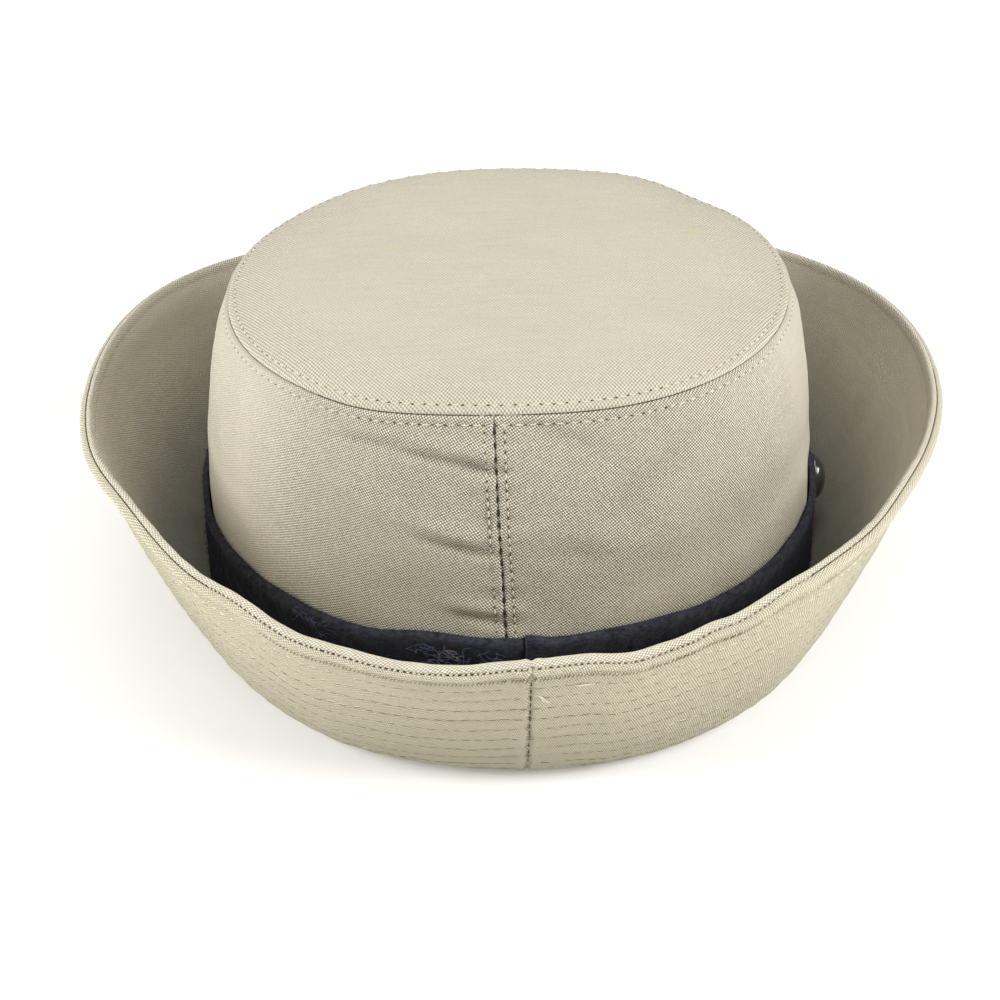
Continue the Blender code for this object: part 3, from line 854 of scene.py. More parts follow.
def make_hat_band(material):
    """The felt band round the foot of the crown."""
    turns = turns_with_seam(BAND_TURNS, BAND_LAP_TURN)
    shares = np.concatenate((np.linspace(0.0, 0.85, 36), 1 - EDGE_STEPS[::-1] / BAND_FACE))
    outside, _, _ = band_at(turns[:, None], shares[None, :])
    _, out = oval(OUTSIDE_HALF_WIDTH, OUTSIDE_HALF_LENGTH, turns[:, None])
    inner_shares = np.linspace(0.99, 0.0, 5)
    inner = band_base(turns[:, None], inner_shares[None, :]) - out * BAND_FELT * 0.85
    grid = np.concatenate((outside, inner), 1)
    up = np.concatenate((shares, inner_shares)) * BAND_FACE
    uv = stack(way_round(turns)[:, None], up[None, :], 0.0)[..., :2]
    return turned_cloth("band_felt", grid, uv, material, (WHOLE_ROUND, 0.0))


def brim_backs(turns, fixed, steps):
    """Ways back from the rim's end for each turn: the fixed ones, and then steps more to the headline."""
    more = np.linspace(0.0, 1.0, steps + 1)[1:]
    rest = fixed[-1] + (brim_length(turns)[:, None] - 1e-6 - fixed[-1]) * more
    return np.concatenate((np.broadcast_to(fixed, (len(turns), len(fixed))), rest), 1)


def side_share(turn):
    """How much of the rim's section is that of the sides: 0 at the back, 1 at the sides and front."""
    away = np.abs(turn_apart(turn, 0.0)) - BACK_ROLL_TURN
    share = np.clip(away / (SIDE_ROLL_TURN - BACK_ROLL_TURN), 0, 1)
    return (share * share * (3 - 2 * share))[:, None]


def roll_line(rows, turns, count):
    """Ways back and out along a rolled edge's section, a row for each turn."""
    at = np.linspace(0, len(rows) - 1, count)
    line = {column: through_rows(rows, None, column, at)[None, :] for column in RollPoint._fields}
    side = side_share(turns)
    backs = line["back"] * (1 - side) + line["side_back"] * side
    return np.maximum(backs, 0.0), line["out"] * (1 - side) + line["side_out"] * side


def brim_uv(turns, along):
    """UVs of the brim: the way round at the rim, and the way along the section."""
    return np.stack((np.broadcast_to(way_round(turns)[:, None] * RIM_LONGER, along.shape), along), -1)


def make_brim_upper(material):
    """The brim's upper ply: the face towards the crown, turned over the rim to the seam outside it."""
    turns = turns_with_seam(BRIM_TURNS, BRIM_SEAM_TURN)
    roll_back, roll_out = roll_line(UPPER_ROLL, turns, UPPER_ROLL_POINTS)
    backs = brim_backs(turns, np.linspace(0.0086, QUILT_END, 62), 4)
    points, _, outer = brim_frame(turns, backs)
    relief = quilt_relief(backs, INNER_QUILT_PUFF) + brim_seam_relief(points, turns)
    inner_face = points - outer * (FACE_OUT + relief)[..., None]
    roll, _, roll_outer = brim_frame(turns, roll_back)
    soft = ripple(way_round(turns)[:, None], roll_back * 0, UPPER_ROLL_SOFT)
    swell = 1 + (soft + brim_seam_relief(roll, turns) * 0.8) / 0.0018
    rolled = roll + roll_outer * (roll_out * swell)[..., None]
    middle_backs = brim_backs(turns, np.array((0.0050, 0.020, 0.035)), 3)
    middle, _, middle_outer = brim_frame(turns, middle_backs)
    grid = np.concatenate((inner_face[:, ::-1], rolled, middle - middle_outer * PIECE_GAP / 2), 1)
    foot = UPPER_ROLL[0]
    steps = np.diff(roll_back, axis=1, prepend=foot.back), np.diff(roll_out, axis=1, prepend=foot.out)
    over = np.hypot(*steps).cumsum(1) - foot.back
    along = np.concatenate((-backs[:, ::-1], over, middle_backs), 1)
    wrap = (WHOLE_ROUND * RIM_LONGER, 0.0)
    return turned_cloth("brim_upper_cloth", grid, brim_uv(turns, along), material, wrap)


def brim_face(turns, backs):
    """The quilted outer face of the brim's under ply: points, the way round and the way out."""
    points, along, outer = brim_frame(turns, backs)
    backs = np.broadcast_to(backs, points.shape[:2])
    relief = quilt_relief(backs, QUILT_PUFF) + brim_seam_relief(points, turns)
    relief = relief + ripple(way_round(turns)[:, None], backs, FACE_SOFT)
    return points + outer * (FACE_OUT + relief)[..., None], along, outer


def make_brim_under(material):
    """The brim's under ply: the lower roll of the rim, then the face with its rows of stitching."""
    turns = turns_with_seam(BRIM_TURNS, BRIM_SEAM_TURN)
    roll_back, roll_out = roll_line(LOWER_ROLL, turns, LOWER_ROLL_POINTS)
    roll, _, roll_outer = brim_frame(turns, roll_back)
    soft = ripple(way_round(turns)[:, None], roll_back, LOWER_ROLL_SOFT)
    lift = roll_out + (brim_seam_relief(roll, turns) + soft) * np.clip(roll_out / 0.0015, 0, 1)
    rolled = roll + roll_outer * lift[..., None]
    backs = brim_backs(turns, np.linspace(0.0076, QUILT_END, 96), 6)
    outside, _, _ = brim_face(turns, backs)
    middle_backs = brim_backs(turns, np.array((0.0040, 0.020, 0.035)), 3)
    middle, _, middle_outer = brim_frame(turns, middle_backs)
    between = middle + middle_outer * (PIECE_GAP / 2)
    grid = np.concatenate((rolled, outside, between[:, ::-1]), 1)
    # The cloth that the hat stands on is pressed flat.
    grid[..., 2] = np.maximum(grid[..., 2], -HAT_MIDDLE[2])
    rolled_way = np.linspace(LOWER_ROLL_START, LOWER_ROLL[-1].back, LOWER_ROLL_POINTS)
    along = np.concatenate((np.broadcast_to(rolled_way, roll.shape[:2]), backs, middle_backs[:, ::-1]), 1)
    wrap = (WHOLE_ROUND * RIM_LONGER, 0.0)
    return turned_cloth("brim_under_cloth", grid, brim_uv(turns, -along), material, wrap)


def make_button(material):
    """The domed metal button, with a fine rolled edge."""
    _, out = oval(OUTSIDE_HALF_WIDTH, OUTSIDE_HALF_LENGTH, np.array(BUTTON_TURN))
    seat = crown_point(BUTTON_TURN, crown_share(BUTTON_TURN, BUTTON_HEIGHT))
    seat = seat + out * (2 * PIECE_GAP + BAND_FELT)
    side, up = np.array((-out[1], out[0], 0.0)), np.array((0.0, 0.0, 1.0))
    edge, arc = np.radians(np.linspace(-90, 90, 9)), np.radians(np.linspace(2, 87, 20))
    spread = np.concatenate(((0.10, 0.50), 0.94 + 0.06 * np.cos(edge), 0.90 * np.cos(arc)))
    roll = BUTTON_RIM * (0.5 + 0.5 * np.sin(edge))
    dome = BUTTON_RIM * 0.8 + (BUTTON_DOME + BUTTON_RIM * 0.2) * np.sin(arc)
    height = np.concatenate(((0.0, 0.0), roll, dome))
    angles = np.radians(np.linspace(0, 360, 73))[:-1, None, None]
    ring = side * np.cos(angles) + up * np.sin(angles)
    grid = seat + ring * (BUTTON_RADIUS * spread)[None, :, None] + out * height[None, :, None]
    return turned_cloth("button_dome", grid, grid[..., 1:], material, poles=True)


class Tree:
    """A node tree, built by short calls."""

    def __init__(self, tree):
        self.tree = tree

    def link(self, value, socket):
        """Puts a value, or the output of another node, into a socket."""
        if isinstance(value, bpy.types.NodeSocket):
            self.tree.links.new(value, socket)
        else:
            socket.default_value = value

    def add(self, kind, inputs=None, **settings):
        """A new node with its settings, and with what goes into its inputs, by their names or numbers."""
        node = self.tree.nodes.new(kind)
        for key, value in settings.items():
            setattr(node, key, value)
        for key, value in (inputs or {}).items():
            self.link(value, node.inputs[key])
        return node


class Nodes(Tree):
    """A material and its node tree."""

    def __init__(self, name):
        self.material = bpy.data.materials.new(name)
        self.material.use_nodes = True
        super().__init__(self.material.node_tree)
        self.shader = self.tree.nodes["Principled BSDF"]

    def math(self, operation, a, b=0.0):
        """The sum, product or the like of two values."""
        return self.add("ShaderNodeMath", {0: a, 1: b}, operation=operation).outputs[0]

    def place(self):
        """The place on the hat, in metres."""
        return self.add("ShaderNodeTexCoord").outputs["Object"]

    def split(self, vector):
        """A vector's coordinates."""
        return self.add("ShaderNodeSeparateXYZ", {0: vector}).outputs

    def cloth_uv(self):
        """The way along the piece's cloth and across it, in metres."""
        u, v, _ = self.split(self.add("ShaderNodeUVMap", uv_map="cloth").outputs[0])
        return u, v

    def join(self, x, y):
        """A level vector from two values."""
        return self.add("ShaderNodeCombineXYZ", {0: x, 1: y}).outputs[0]

    def noise(self, vector, scale, detail=2.0, roughness=0.5):
        """Soft noise from 0 to 1."""
        inputs = {"Vector": vector, "Scale": scale, "Detail": detail, "Roughness": roughness}
        return self.add("ShaderNodeTexNoise", inputs).outputs[0]

    def range(self, value, low, high, to_low=0.0, to_high=1.0):
        """The value taken from one range to another, and held at its ends."""
        ends = {"From Min": low, "From Max": high, "To Min": to_low, "To Max": to_high}
        return self.add("ShaderNodeMapRange", {"Value": value, **ends}).outputs[0]

    def mix(self, factor, a, b, blend="MIX"):
        """Two colours laid over each other."""
        inputs = {0: factor, 6: a, 7: b}
        return self.add("ShaderNodeMix", inputs, data_type="RGBA", blend_type=blend).outputs[2]

    def eased(self, level, share):
        """A level from 0 to 1 of which only a share of its swing about the middle is kept."""
        return self.math("ADD", self.math("MULTIPLY", self.math("SUBTRACT", level, 0.5), share), 0.5)

    def bump(self, height, strength, distance):
        """The way out of a surface with fine relief."""
        inputs = {"Height": height, "Strength": strength, "Distance": distance}
        return self.add("ShaderNodeBump", inputs).outputs[0]

    def coloured(self, colour):
        """The material with its colour."""
        self.link(colour, self.shader.inputs["Base Color"])
        return self.material

    def finish(self, colour, roughness, normal=None, **shader):
        """Sets the shader, and gives the finished material."""
        self.link(roughness, self.shader.inputs["Roughness"])
        if normal is not None:
            self.link(normal, self.shader.inputs["Normal"])
        for name, value in shader.items():
            self.shader.inputs[name.replace("_", " ")].default_value = value
        return self.coloured(colour)


def twill_height(nodes, u, v, weave):
    """Height of a twill weave: fine slanting ribs, crossed by the steps between the floats of each rib."""
    wobble = nodes.range(nodes.noise(nodes.join(u, v), 300.0, 2.0), 0.0, 1.0, -1.3, 1.3)

    def lines(angle, apart):
        turn, angle = 2 * math.pi / apart, math.radians(angle)
        across = nodes.math("SUBTRACT", nodes.math("MULTIPLY", v, math.cos(angle) * turn),
                            nodes.math("MULTIPLY", u, math.sin(angle) * turn))
        return nodes.math("SINE", nodes.math("ADD", across, wobble))

    ribs, steps = lines(weave.rib_slant, weave.rib_pitch), lines(weave.step_slant, weave.step_pitch)
    woven = nodes.math("ADD", nodes.math("MULTIPLY", ribs, 0.55), nodes.math("MULTIPLY", steps, 0.62))
    return nodes.range(woven, -0.62, 0.62)


def shaded(nodes, colour, amount, least):
    """The colour made darker, down to its share least where the amount is 1."""
    tone = nodes.range(amount, 0.0, 1.0, 1.0, least)
    grey = nodes.add("ShaderNodeCombineColor", {0: tone, 1: tone, 2: tone})
    return nodes.mix(1.0, colour, grey.outputs[0], "MULTIPLY")


def khaki_twill(name, lit, shade, weave, relief, crisp=None):
    """Cotton twill, and its node tree and colour for more to be laid on.

    lit is the colour of the threads that catch light, shade how dark the hollows are. crisp says from 0 to 1
    where the weave stands out, and the rest has been pressed smooth.
    """
    nodes = Nodes(name)
    u, v = nodes.cloth_uv()
    woven = twill_height(nodes, u, v, weave)
    place = nodes.place()
    fleck = nodes.noise(place, 1500.0, 2.0, 0.7)
    if crisp is not None:
        share = crisp(nodes, u, v)
        woven, fleck = nodes.eased(woven, share), nodes.eased(fleck, share)
    streak = nodes.noise(nodes.join(nodes.math("MULTIPLY", u, 0.12), v), 520.0, 2.0)
    patch = nodes.noise(place, 26.0, 3.0)
    dark = tuple(c * shade * f for c, f in zip(lit, (1.0, 0.985, 0.94)))
    level = nodes.math("ADD", nodes.math("MULTIPLY", woven, 0.75), nodes.math("MULTIPLY", fleck, 0.85))
    colour = nodes.mix(nodes.range(level, 0.49, 1.07), (*dark, 1.0), (*lit, 1.0))
    tone = nodes.math("MULTIPLY", nodes.range(streak, 0.2, 0.8, 0.94, 1.05),
                      nodes.range(patch, 0.2, 0.8, 0.95, 1.04))
    colour = shaded(nodes, colour, nodes.math("SUBTRACT", 1.0, tone), 0.0)
    height = nodes.math("ADD", woven, nodes.math("MULTIPLY", fleck, 0.4))
    normal = nodes.bump(height, relief, 0.0004)
    nodes.finish(colour, 0.88, normal, Sheen_Weight=0.12, Sheen_Roughness=0.5, Specular_IOR_Level=0.2)
    return nodes, colour


def tip_twill():
    """The tip's cloth: pressed smooth but for its edge, with two faint yellowish spots."""
    def crisp(nodes, u, v):
        half_width, half_length = 0.078, 0.087
        level = nodes.math("ADD", nodes.math("POWER", nodes.math("DIVIDE", u, half_width), 2.0),
                           nodes.math("POWER", nodes.math("DIVIDE", v, half_length), 2.0))
        return nodes.range(level, 0.55, 0.95, 0.40, 1.0)

    nodes, colour = khaki_twill("khaki_tip_twill", lit=(0.72, 0.667, 0.530), shade=0.50, weave=TIP_WEAVE,
                                relief=0.50, crisp=crisp)
    for spot in TIP_SPOTS:
        near = nodes.add("ShaderNodeVectorMath", {0: nodes.place(), 1: spot}, operation="DISTANCE")
        amount = nodes.range(near.outputs["Value"], 0.0030, 0.0008, 0.0, 0.30)
        colour = nodes.mix(amount, colour, (0.62, 0.50, 0.24, 1.0))
    return nodes.coloured(colour)


def side_twill():
    """The crown wall's cloth: crisp at the back, softer at its sides, with painted shade at its sides and in
    its creases.
    """
    def smooth(nodes):
        x, y, _ = nodes.split(nodes.place())
        return nodes.range(nodes.math("SUBTRACT", y, nodes.math("MULTIPLY", x, 0.15)), -0.084, -0.048)

    def crisp(nodes, u, v):
        return nodes.range(smooth(nodes), 0.0, 1.0, 1.15, 0.24)

    nodes, colour = khaki_twill("khaki_side_twill", lit=(0.965, 0.893, 0.707), shade=0.24, weave=SIDE_WEAVE,
                                relief=1.0, crisp=crisp)
    # Painted shade: the cloth is painted darker in its creases, where shade falls.
    creased = nodes.add("ShaderNodeAttribute", attribute_name="creased").outputs["Fac"]
    # Painted shade: the cloth is also painted darker at its sides, where the weave is pressed smooth,
    # standing in for the weave's own shading that the smoothing takes away.
    colour = shaded(nodes, shaded(nodes, colour, smooth(nodes), 0.84), creased, 0.69)
    return nodes.coloured(colour)


def brim_upper_twill():
    """The upper ply's cloth: crisp on the rolled rim, pressed smooth below it, painted paler on the rim for
    the light it catches, and painted darker down into the gutter for the shade there.
    """
    def crisp(nodes, u, v):
        return nodes.range(v, -0.0036, -0.0010, 0.32, 1.0)

    nodes, colour = khaki_twill("khaki_brim_upper_twill", lit=(0.96, 0.895, 0.712), shade=0.48,
                                weave=SIDE_WEAVE, relief=0.8, crisp=crisp)
    _, v = nodes.cloth_uv()
    # Painted light: the rolled rim is left paler than the face below it, for the light the roll catches.
    colour = shaded(nodes, colour, nodes.range(v, -0.0010, -0.0045), 0.91)
    # Painted shade: the face is painted darker, unevenly, down into the gutter by the crown, where shade
    # falls.
    uneven = nodes.noise(nodes.place(), 90.0, 2.0)
    depth = nodes.math("ADD", v, nodes.range(uneven, 0.2, 0.8, -0.004, 0.004))
    colour = shaded(nodes, colour, nodes.range(depth, -0.018, -0.056), 0.40)
    return nodes.coloured(colour)


def brim_under_twill():
    """The under ply's cloth: painted palest on its roll for the light it catches, and painted darker towards
    the fold that the hat stands on, for the shade there.
    """
    nodes, colour = khaki_twill("khaki_brim_under_twill", lit=(0.89, 0.825, 0.620), shade=0.46,
                                weave=FACE_WEAVE, relief=0.8)
    _, v = nodes.cloth_uv()
    # Painted light: the face is made darker than the roll, so the roll stays paler, for the light it catches.
    face = nodes.mix(1.0, colour, (0.90, 0.89, 0.855, 1.0), "MULTIPLY")
    colour = nodes.mix(nodes.range(v, -0.0028, -0.0044), colour, face)
    # Painted shade: darker towards the fold that the hat stands on, where shade falls.
    colour = shaded(nodes, colour, nodes.range(v, -0.016, -0.042), 0.80)
    return nodes.coloured(colour)


def navy_felt():
    """Wool felt: near black blue, with paler fibres in it, and a painted highlight along its top edge, where
    the rolled edge catches light.
    """
    nodes = Nodes("navy_felt")
    place = nodes.place()
    around, up = nodes.cloth_uv()
    fibre = nodes.noise(nodes.join(nodes.math("MULTIPLY", around, 0.4), up), 1500.0, 3.0, 0.7)
    tuft = nodes.noise(place, 320.0, 3.0, 0.6)
    level = nodes.math("ADD", nodes.math("MULTIPLY", fibre, 0.6), nodes.math("MULTIPLY", tuft, 0.5))
    # Painted highlight: the top edge is painted paler, for the light that its rolled edge catches.
    edge = nodes.range(nodes.math("ADD", up, nodes.math("MULTIPLY", tuft, 0.0016)), 0.0260, 0.0300, 0.0, 0.75)
    edge = nodes.math("MULTIPLY", edge, nodes.range(level, 0.42, 0.72, 0.15, 1.0))
    colour = nodes.mix(nodes.range(level, 0.40, 0.80), (0.0028, 0.0032, 0.0065, 1.0),
                       (0.015, 0.0165, 0.028, 1.0))
    colour = nodes.mix(edge, colour, (0.064, 0.067, 0.085, 1.0))
    normal = nodes.bump(level, 1.0, 0.0008)
    return nodes.finish(colour, 0.95, normal, Sheen_Weight=0.15, Sheen_Roughness=0.6,
                        Sheen_Tint=(0.60, 0.62, 0.75, 1.0), Specular_IOR_Level=0.12)


def plain_finish(name, colour, roughness):
    """A small, nearly even finish, for thread, fibres and needle holes."""
    nodes = Nodes(name)
    tone = nodes.range(nodes.noise(nodes.place(), 700.0, 2.0), 0.25, 0.75)
    low = tuple(c * 0.8 for c in colour)
    return nodes.finish(nodes.mix(tone, (*low, 1.0), (*colour, 1.0)), roughness, Specular_IOR_Level=0.2)


def nickel():
    """Polished nickel that has been handled: fine scratches and slightly uneven shine."""
    nodes = Nodes("button_nickel")
    place = nodes.place()
    wear = nodes.noise(place, 400.0, 4.0, 0.6)
    scratch = nodes.noise(place, 2600.0, 2.0, 0.7)
    colour = nodes.mix(wear, (0.14, 0.14, 0.14, 1.0), (0.24, 0.24, 0.24, 1.0))
    normal = nodes.bump(scratch, 0.15, 0.00008)
    return nodes.finish(colour, nodes.range(wear, 0.2, 0.8, 0.12, 0.26), normal, Metallic=1.0)


class GrowTree(Tree):
    """A Geometry Nodes tree that sets one small shape on many places."""

    def __init__(self, name, *sizes):
        super().__init__(bpy.data.node_groups.new(name, "GeometryNodeTree"))
        face = self.tree.interface
        face.new_socket("Geometry", in_out="INPUT", socket_type="NodeSocketGeometry")
        self.ids = {}
        for label in (*sizes, "Material"):
            kind = "NodeSocketMaterial" if label == "Material" else "NodeSocketFloat"
            self.ids[label] = face.new_socket(label, in_out="INPUT", socket_type=kind).identifier
        face.new_socket("Geometry", in_out="OUTPUT", socket_type="NodeSocketGeometry")
        self.given = self.add("NodeGroupInput").outputs
        self.end = self.add("NodeGroupOutput")

    def attribute(self, name):
        """A vector that each point holds."""
        node = self.add("GeometryNodeInputNamedAttribute", {"Name": name}, data_type="FLOAT_VECTOR")
        return node.outputs[0]

    def set_on(self, points, shape, rotation, scale):
        """Ends the tree in the shape, set on the points, made real and painted."""
        places = {"Points": points, "Instance": shape, "Rotation": rotation, "Scale": scale}
        put = self.add("GeometryNodeInstanceOnPoints", places)
        real = self.add("GeometryNodeRealizeInstances", {0: put.outputs[0]})
        painted = {"Geometry": real.outputs[0], "Material": self.given["Material"]}
        self.link(self.add("GeometryNodeSetMaterial", painted).outputs[0], self.end.inputs[0])
        return self


def stitch_tree():
    """Sets a small rounded stitch on each point, along its way attribute and lying square to its out."""
    grow = GrowTree("stitches", "Length", "Width", "Height")
    given = grow.given
    ball = grow.add("GeometryNodeMeshUVSphere", {"Segments": 6, "Rings": 4, "Radius": 0.5})
    size = grow.add("ShaderNodeCombineXYZ", {0: given["Length"], 1: given["Width"], 2: given["Height"]})
    lay = grow.add("FunctionNodeAlignRotationToVector", {"Vector": grow.attribute("way")}, axis="X")
    stand = grow.add("FunctionNodeAlignRotationToVector", {
        "Rotation": lay.outputs[0], "Vector": grow.attribute("out"),
    }, axis="Z", pivot_axis="X")
    vary = grow.add("FunctionNodeRandomValue", {
        "Min": (0.80, 0.85, 0.85), "Max": (1.12, 1.10, 1.10), "Seed": SEED,
    }, data_type="FLOAT_VECTOR")
    scale = grow.add("ShaderNodeVectorMath", {0: size.outputs[0], 1: vary.outputs[0]}, operation="MULTIPLY")
    return grow.set_on(given["Geometry"], ball.outputs[0], stand.outputs[0], scale.outputs[0])


def fuzz_tree():
    """Sets fine fibres all over a surface, leaning every way."""
    grow = GrowTree("felt_fuzz", "Density", "Length", "Width", "Lean")
    given = grow.given
    spread = grow.add("GeometryNodeDistributePointsOnFaces", {
        "Mesh": given["Geometry"], "Density": given["Density"], "Seed": SEED,
    })
    fibre = grow.add("GeometryNodeMeshCone", {
        "Vertices": 3, "Radius Top": 0.15, "Radius Bottom": 0.5, "Depth": 1.0,
    }, fill_type="NONE")
    size = grow.add("ShaderNodeCombineXYZ", {0: given["Width"], 1: given["Width"], 2: given["Length"]})
    random = grow.add("FunctionNodeRandomValue", {
        "Min": (-1.0, -1.0, -1.0), "Max": (1.0, 1.0, 1.0), "Seed": SEED + 1,
    }, data_type="FLOAT_VECTOR")
    lean = grow.add("ShaderNodeVectorMath", {0: random.outputs[0], "Scale": given["Lean"]}, operation="SCALE")
    tilt = grow.add("FunctionNodeEulerToRotation", {0: lean.outputs[0]})
    turn = grow.add("FunctionNodeRotateRotation", {
        "Rotation": spread.outputs["Rotation"], "Rotate By": tilt.outputs[0],
    }, rotation_space="LOCAL")
    return grow.set_on(spread.outputs["Points"], fibre.outputs["Mesh"], turn.outputs[0], size.outputs[0])


def grown(name, mesh, grow, material, **sizes):
    """A plain mesh from a tree that runs once over a source mesh with the named sizes."""
    source = placed(name + "_source", mesh)
    modifier = source.modifiers.new("grow", "NODES")
    modifier.node_group = grow.tree
    modifier[grow.ids["Material"]] = material
    for label, value in sizes.items():
        modifier[grow.ids[label]] = value
    bpy.context.view_layer.update()
    whole = bpy.context.evaluated_depsgraph_get()
    made_mesh = bpy.data.meshes.new_from_object(source.evaluated_get(whole), depsgraph=whole)
    made_mesh.name = name
    bpy.data.objects.remove(source)
    made_mesh.shade_smooth()
    return placed(name, made_mesh)


def joined(runs):
    """Several runs of points, ways and outs as one."""
    return tuple(np.concatenate([np.asarray(run[k]).reshape(-1, 3) for run in runs]) for k in range(3))


def point_mesh(name, points, way, out):
    """Loose points that each know the way their stitch runs and the way out of the cloth."""
    mesh = bpy.data.meshes.new(name + "_points")
    mesh.from_pydata((points + HAT_MIDDLE).tolist(), [], [])
    for label, values in (("way", way), ("out", out)):
        attribute = mesh.attributes.new(label, "FLOAT_VECTOR", "POINT")
        attribute.data.foreach_set("vector", np.asarray(values, np.float32).reshape(-1))
    return mesh


def up_the_wall(turns, shares):
    """The way up the crown wall."""
    return unit(wall_base(turns, shares + WALL_STEP) - wall_base(turns, shares - WALL_STEP))


def seam_rows(first):
    """Places along the rows of stitching on both sides of the crown's back seam."""
    runs = []
    for side in (-1, 1):
        shares = np.arange(first, 0.975, SEAM_PITCH / CROWN_HEIGHT)
        step = 1.5 * side
        beside, seam = wall_base(CROWN_SEAM_TURN + step, shares), wall_base(CROWN_SEAM_TURN, shares)
        turns = CROWN_SEAM_TURN + step * STITCH_AWAY * (0.90 + 0.14 * shares) / np.abs(beside - seam)[:, 0]
        points, _, out = wall_at(turns, shares)
        runs.append((points, up_the_wall(turns, shares), out))
    return runs


def tip_rows(shift):
    """Places along the rows of stitching on both sides of the tip seam."""
    turns = turn_at(np.arange(0.0, WHOLE_ROUND - STITCH_PITCH * 0.6, TIP_PITCH) + shift)
    above = tip_at(turns, np.full(len(turns), STITCH_AWAY / TIP_HALF))
    below = wall_at(turns, np.full(len(turns), 1 - STITCH_AWAY * 0.95 / CROWN_HEIGHT))
    return [above, below]


def brim_rows(below):
    """Places along the rows of stitching round the brim's outer face, or a little below each row."""
    runs = []
    for row in range(QUILT_ROWS - 1):
        around = np.arange(0.0, WHOLE_ROUND, STITCH_PITCH / FACE_LONGER) + 0.0013 * row
        points, _, out = brim_face(turn_at(around), np.array((QUILT_START + QUILT_PITCH * row + below,)))
        runs.append((points, unit(np.gradient(points, axis=0)), out))
    return runs


def rim_turns(pitch):
    """Turns of close, slightly uneven stitches round the rim."""
    around = np.arange(0.0, WHOLE_ROUND - pitch, pitch / RIM_LONGER)
    return turn_at(around + np.random.default_rng(SEED).uniform(0.0, pitch * 0.3, len(around)))


def rim_run(turns, backs, level, lean):
    """Stitches close together round the rim: places, the way of each, and the way out."""
    points, _, out = brim_frame(turns, backs)
    along = unit(np.gradient(points, axis=0))
    up = np.cross(out, along)
    up = np.where(up[..., 2:] < 0, -up, up)
    return points + out * level[..., None], unit(along * lean + up), out


def rim_ridge():
    """Places of the close, slanting stitches on the ridge below the rolled rim."""
    turns = rim_turns(RIDGE_PITCH)
    level = RIDGE_OUT + 0.00005 + 0.00025 * bell(turn_apart(turns, BRIM_SEAM_TURN), 1.2)
    return rim_run(turns, np.array((RIDGE_BACK,)), level[:, None], 0.5)


def rim_seam():
    """Places of the stitches that bridge the seam between the rim's two rolls."""
    turns = rim_turns(RIM_PITCH)
    side = side_share(turns)
    backs, level = 0.00106 * (1 - side) + 0.00012 * side, 0.00128 * (1 - side)
    points, way, out = rim_run(turns, backs, level, 1.1)
    up = np.array((0.0, 0.0, 1.0))
    facing = unit(out * (1 - 0.85 * side[..., None]) + up * (0.35 + 0.6 * side[..., None]))
    return points, way, facing


def parted(run, least, most):
    """The stitches of a run round the hat whose turn lies that far from the back, either way."""
    x, y = run[0][..., 0], run[0][..., 1]
    apart = np.degrees(np.arctan2(np.abs(x) * OUTSIDE_HALF_LENGTH / OUTSIDE_HALF_WIDTH, -y))
    keep = (apart >= least) & (apart < most)
    return tuple(values[keep] for values in run)


def back_seam_dashes():
    """Places of the dark dashes that show along the crown's back seam."""
    shares = np.arange(0.30, 0.97, BACK_SEAM_PITCH / CROWN_HEIGHT)
    turns = np.full(len(shares), CROWN_SEAM_TURN)
    points, _, out = wall_at(turns, shares)
    return points + out * 0.0003, up_the_wall(turns, shares), out


def brim_seam_dashes():
    """Places of the dark dashes along the brim's back seam."""
    beside = BRIM_SEAM_TURN + np.array((-0.3, 0.0, 0.3))
    points, _, out = brim_face(beside, np.arange(0.0085, 0.046, BRIM_SEAM_PITCH))
    return points[1] + out[1] * 0.0002, unit(np.gradient(points[1], axis=0)), out[1]


def tip_seam_shade():
    """Places of the shade that lies in the tip seam."""
    turns = turn_at(np.arange(0.0, WHOLE_ROUND, SHADE_PITCH))
    points, way, out = wall_at(turns, np.full(len(turns), 1.0))
    out = unit(out + np.array((0.0, 0.0, 0.8)))
    return points + out * 0.00006, way, out


def stitch_rows():
    """Places of all stitches, as lists of runs, by the names that the table of stitching uses."""
    return {
        "back_seam_sides": seam_rows(SEAM_FOOT),
        "tip_seam_sides": tip_rows(0.0),
        "needle_holes": seam_rows(SEAM_FOOT + SEAM_PITCH / CROWN_HEIGHT / 2) + tip_rows(TIP_PITCH / 2),
        "back_seam": [back_seam_dashes()],
        "tip_seam": [tip_seam_shade()],
        "quilting": brim_rows(0.0),
        "quilting_shade": brim_rows(0.00028),
        "rim_ridge": [rim_ridge()],
        "rim_seam": [rim_seam()],
        "brim_seam": [brim_seam_dashes()],
    }


def make_stitching(yarns):
    """All the rows of stitching: each piece of it, and the slot that it takes its finish from."""
    grow, rows, made = stitch_tree(), stitch_rows(), []
    for row in STITCHINGS:
        mesh = point_mesh(row.piece, *joined([parted(run, row.least, row.most) for run in rows[row.rows]]))
        piece = grown(row.piece, mesh, grow, yarns[row.yarn], Length=row.length, Width=row.width,
                      Height=row.height)
        made.append((piece, row.slot))
    return made


def make_fuzz(band, felt_fibre):
    """Fine fibres that stand up from the felt band."""
    return grown("band_fuzz", band.data.copy(), fuzz_tree(), felt_fibre, Density=360000.0, Length=0.0013,
                 Width=0.00008, Lean=1.2)


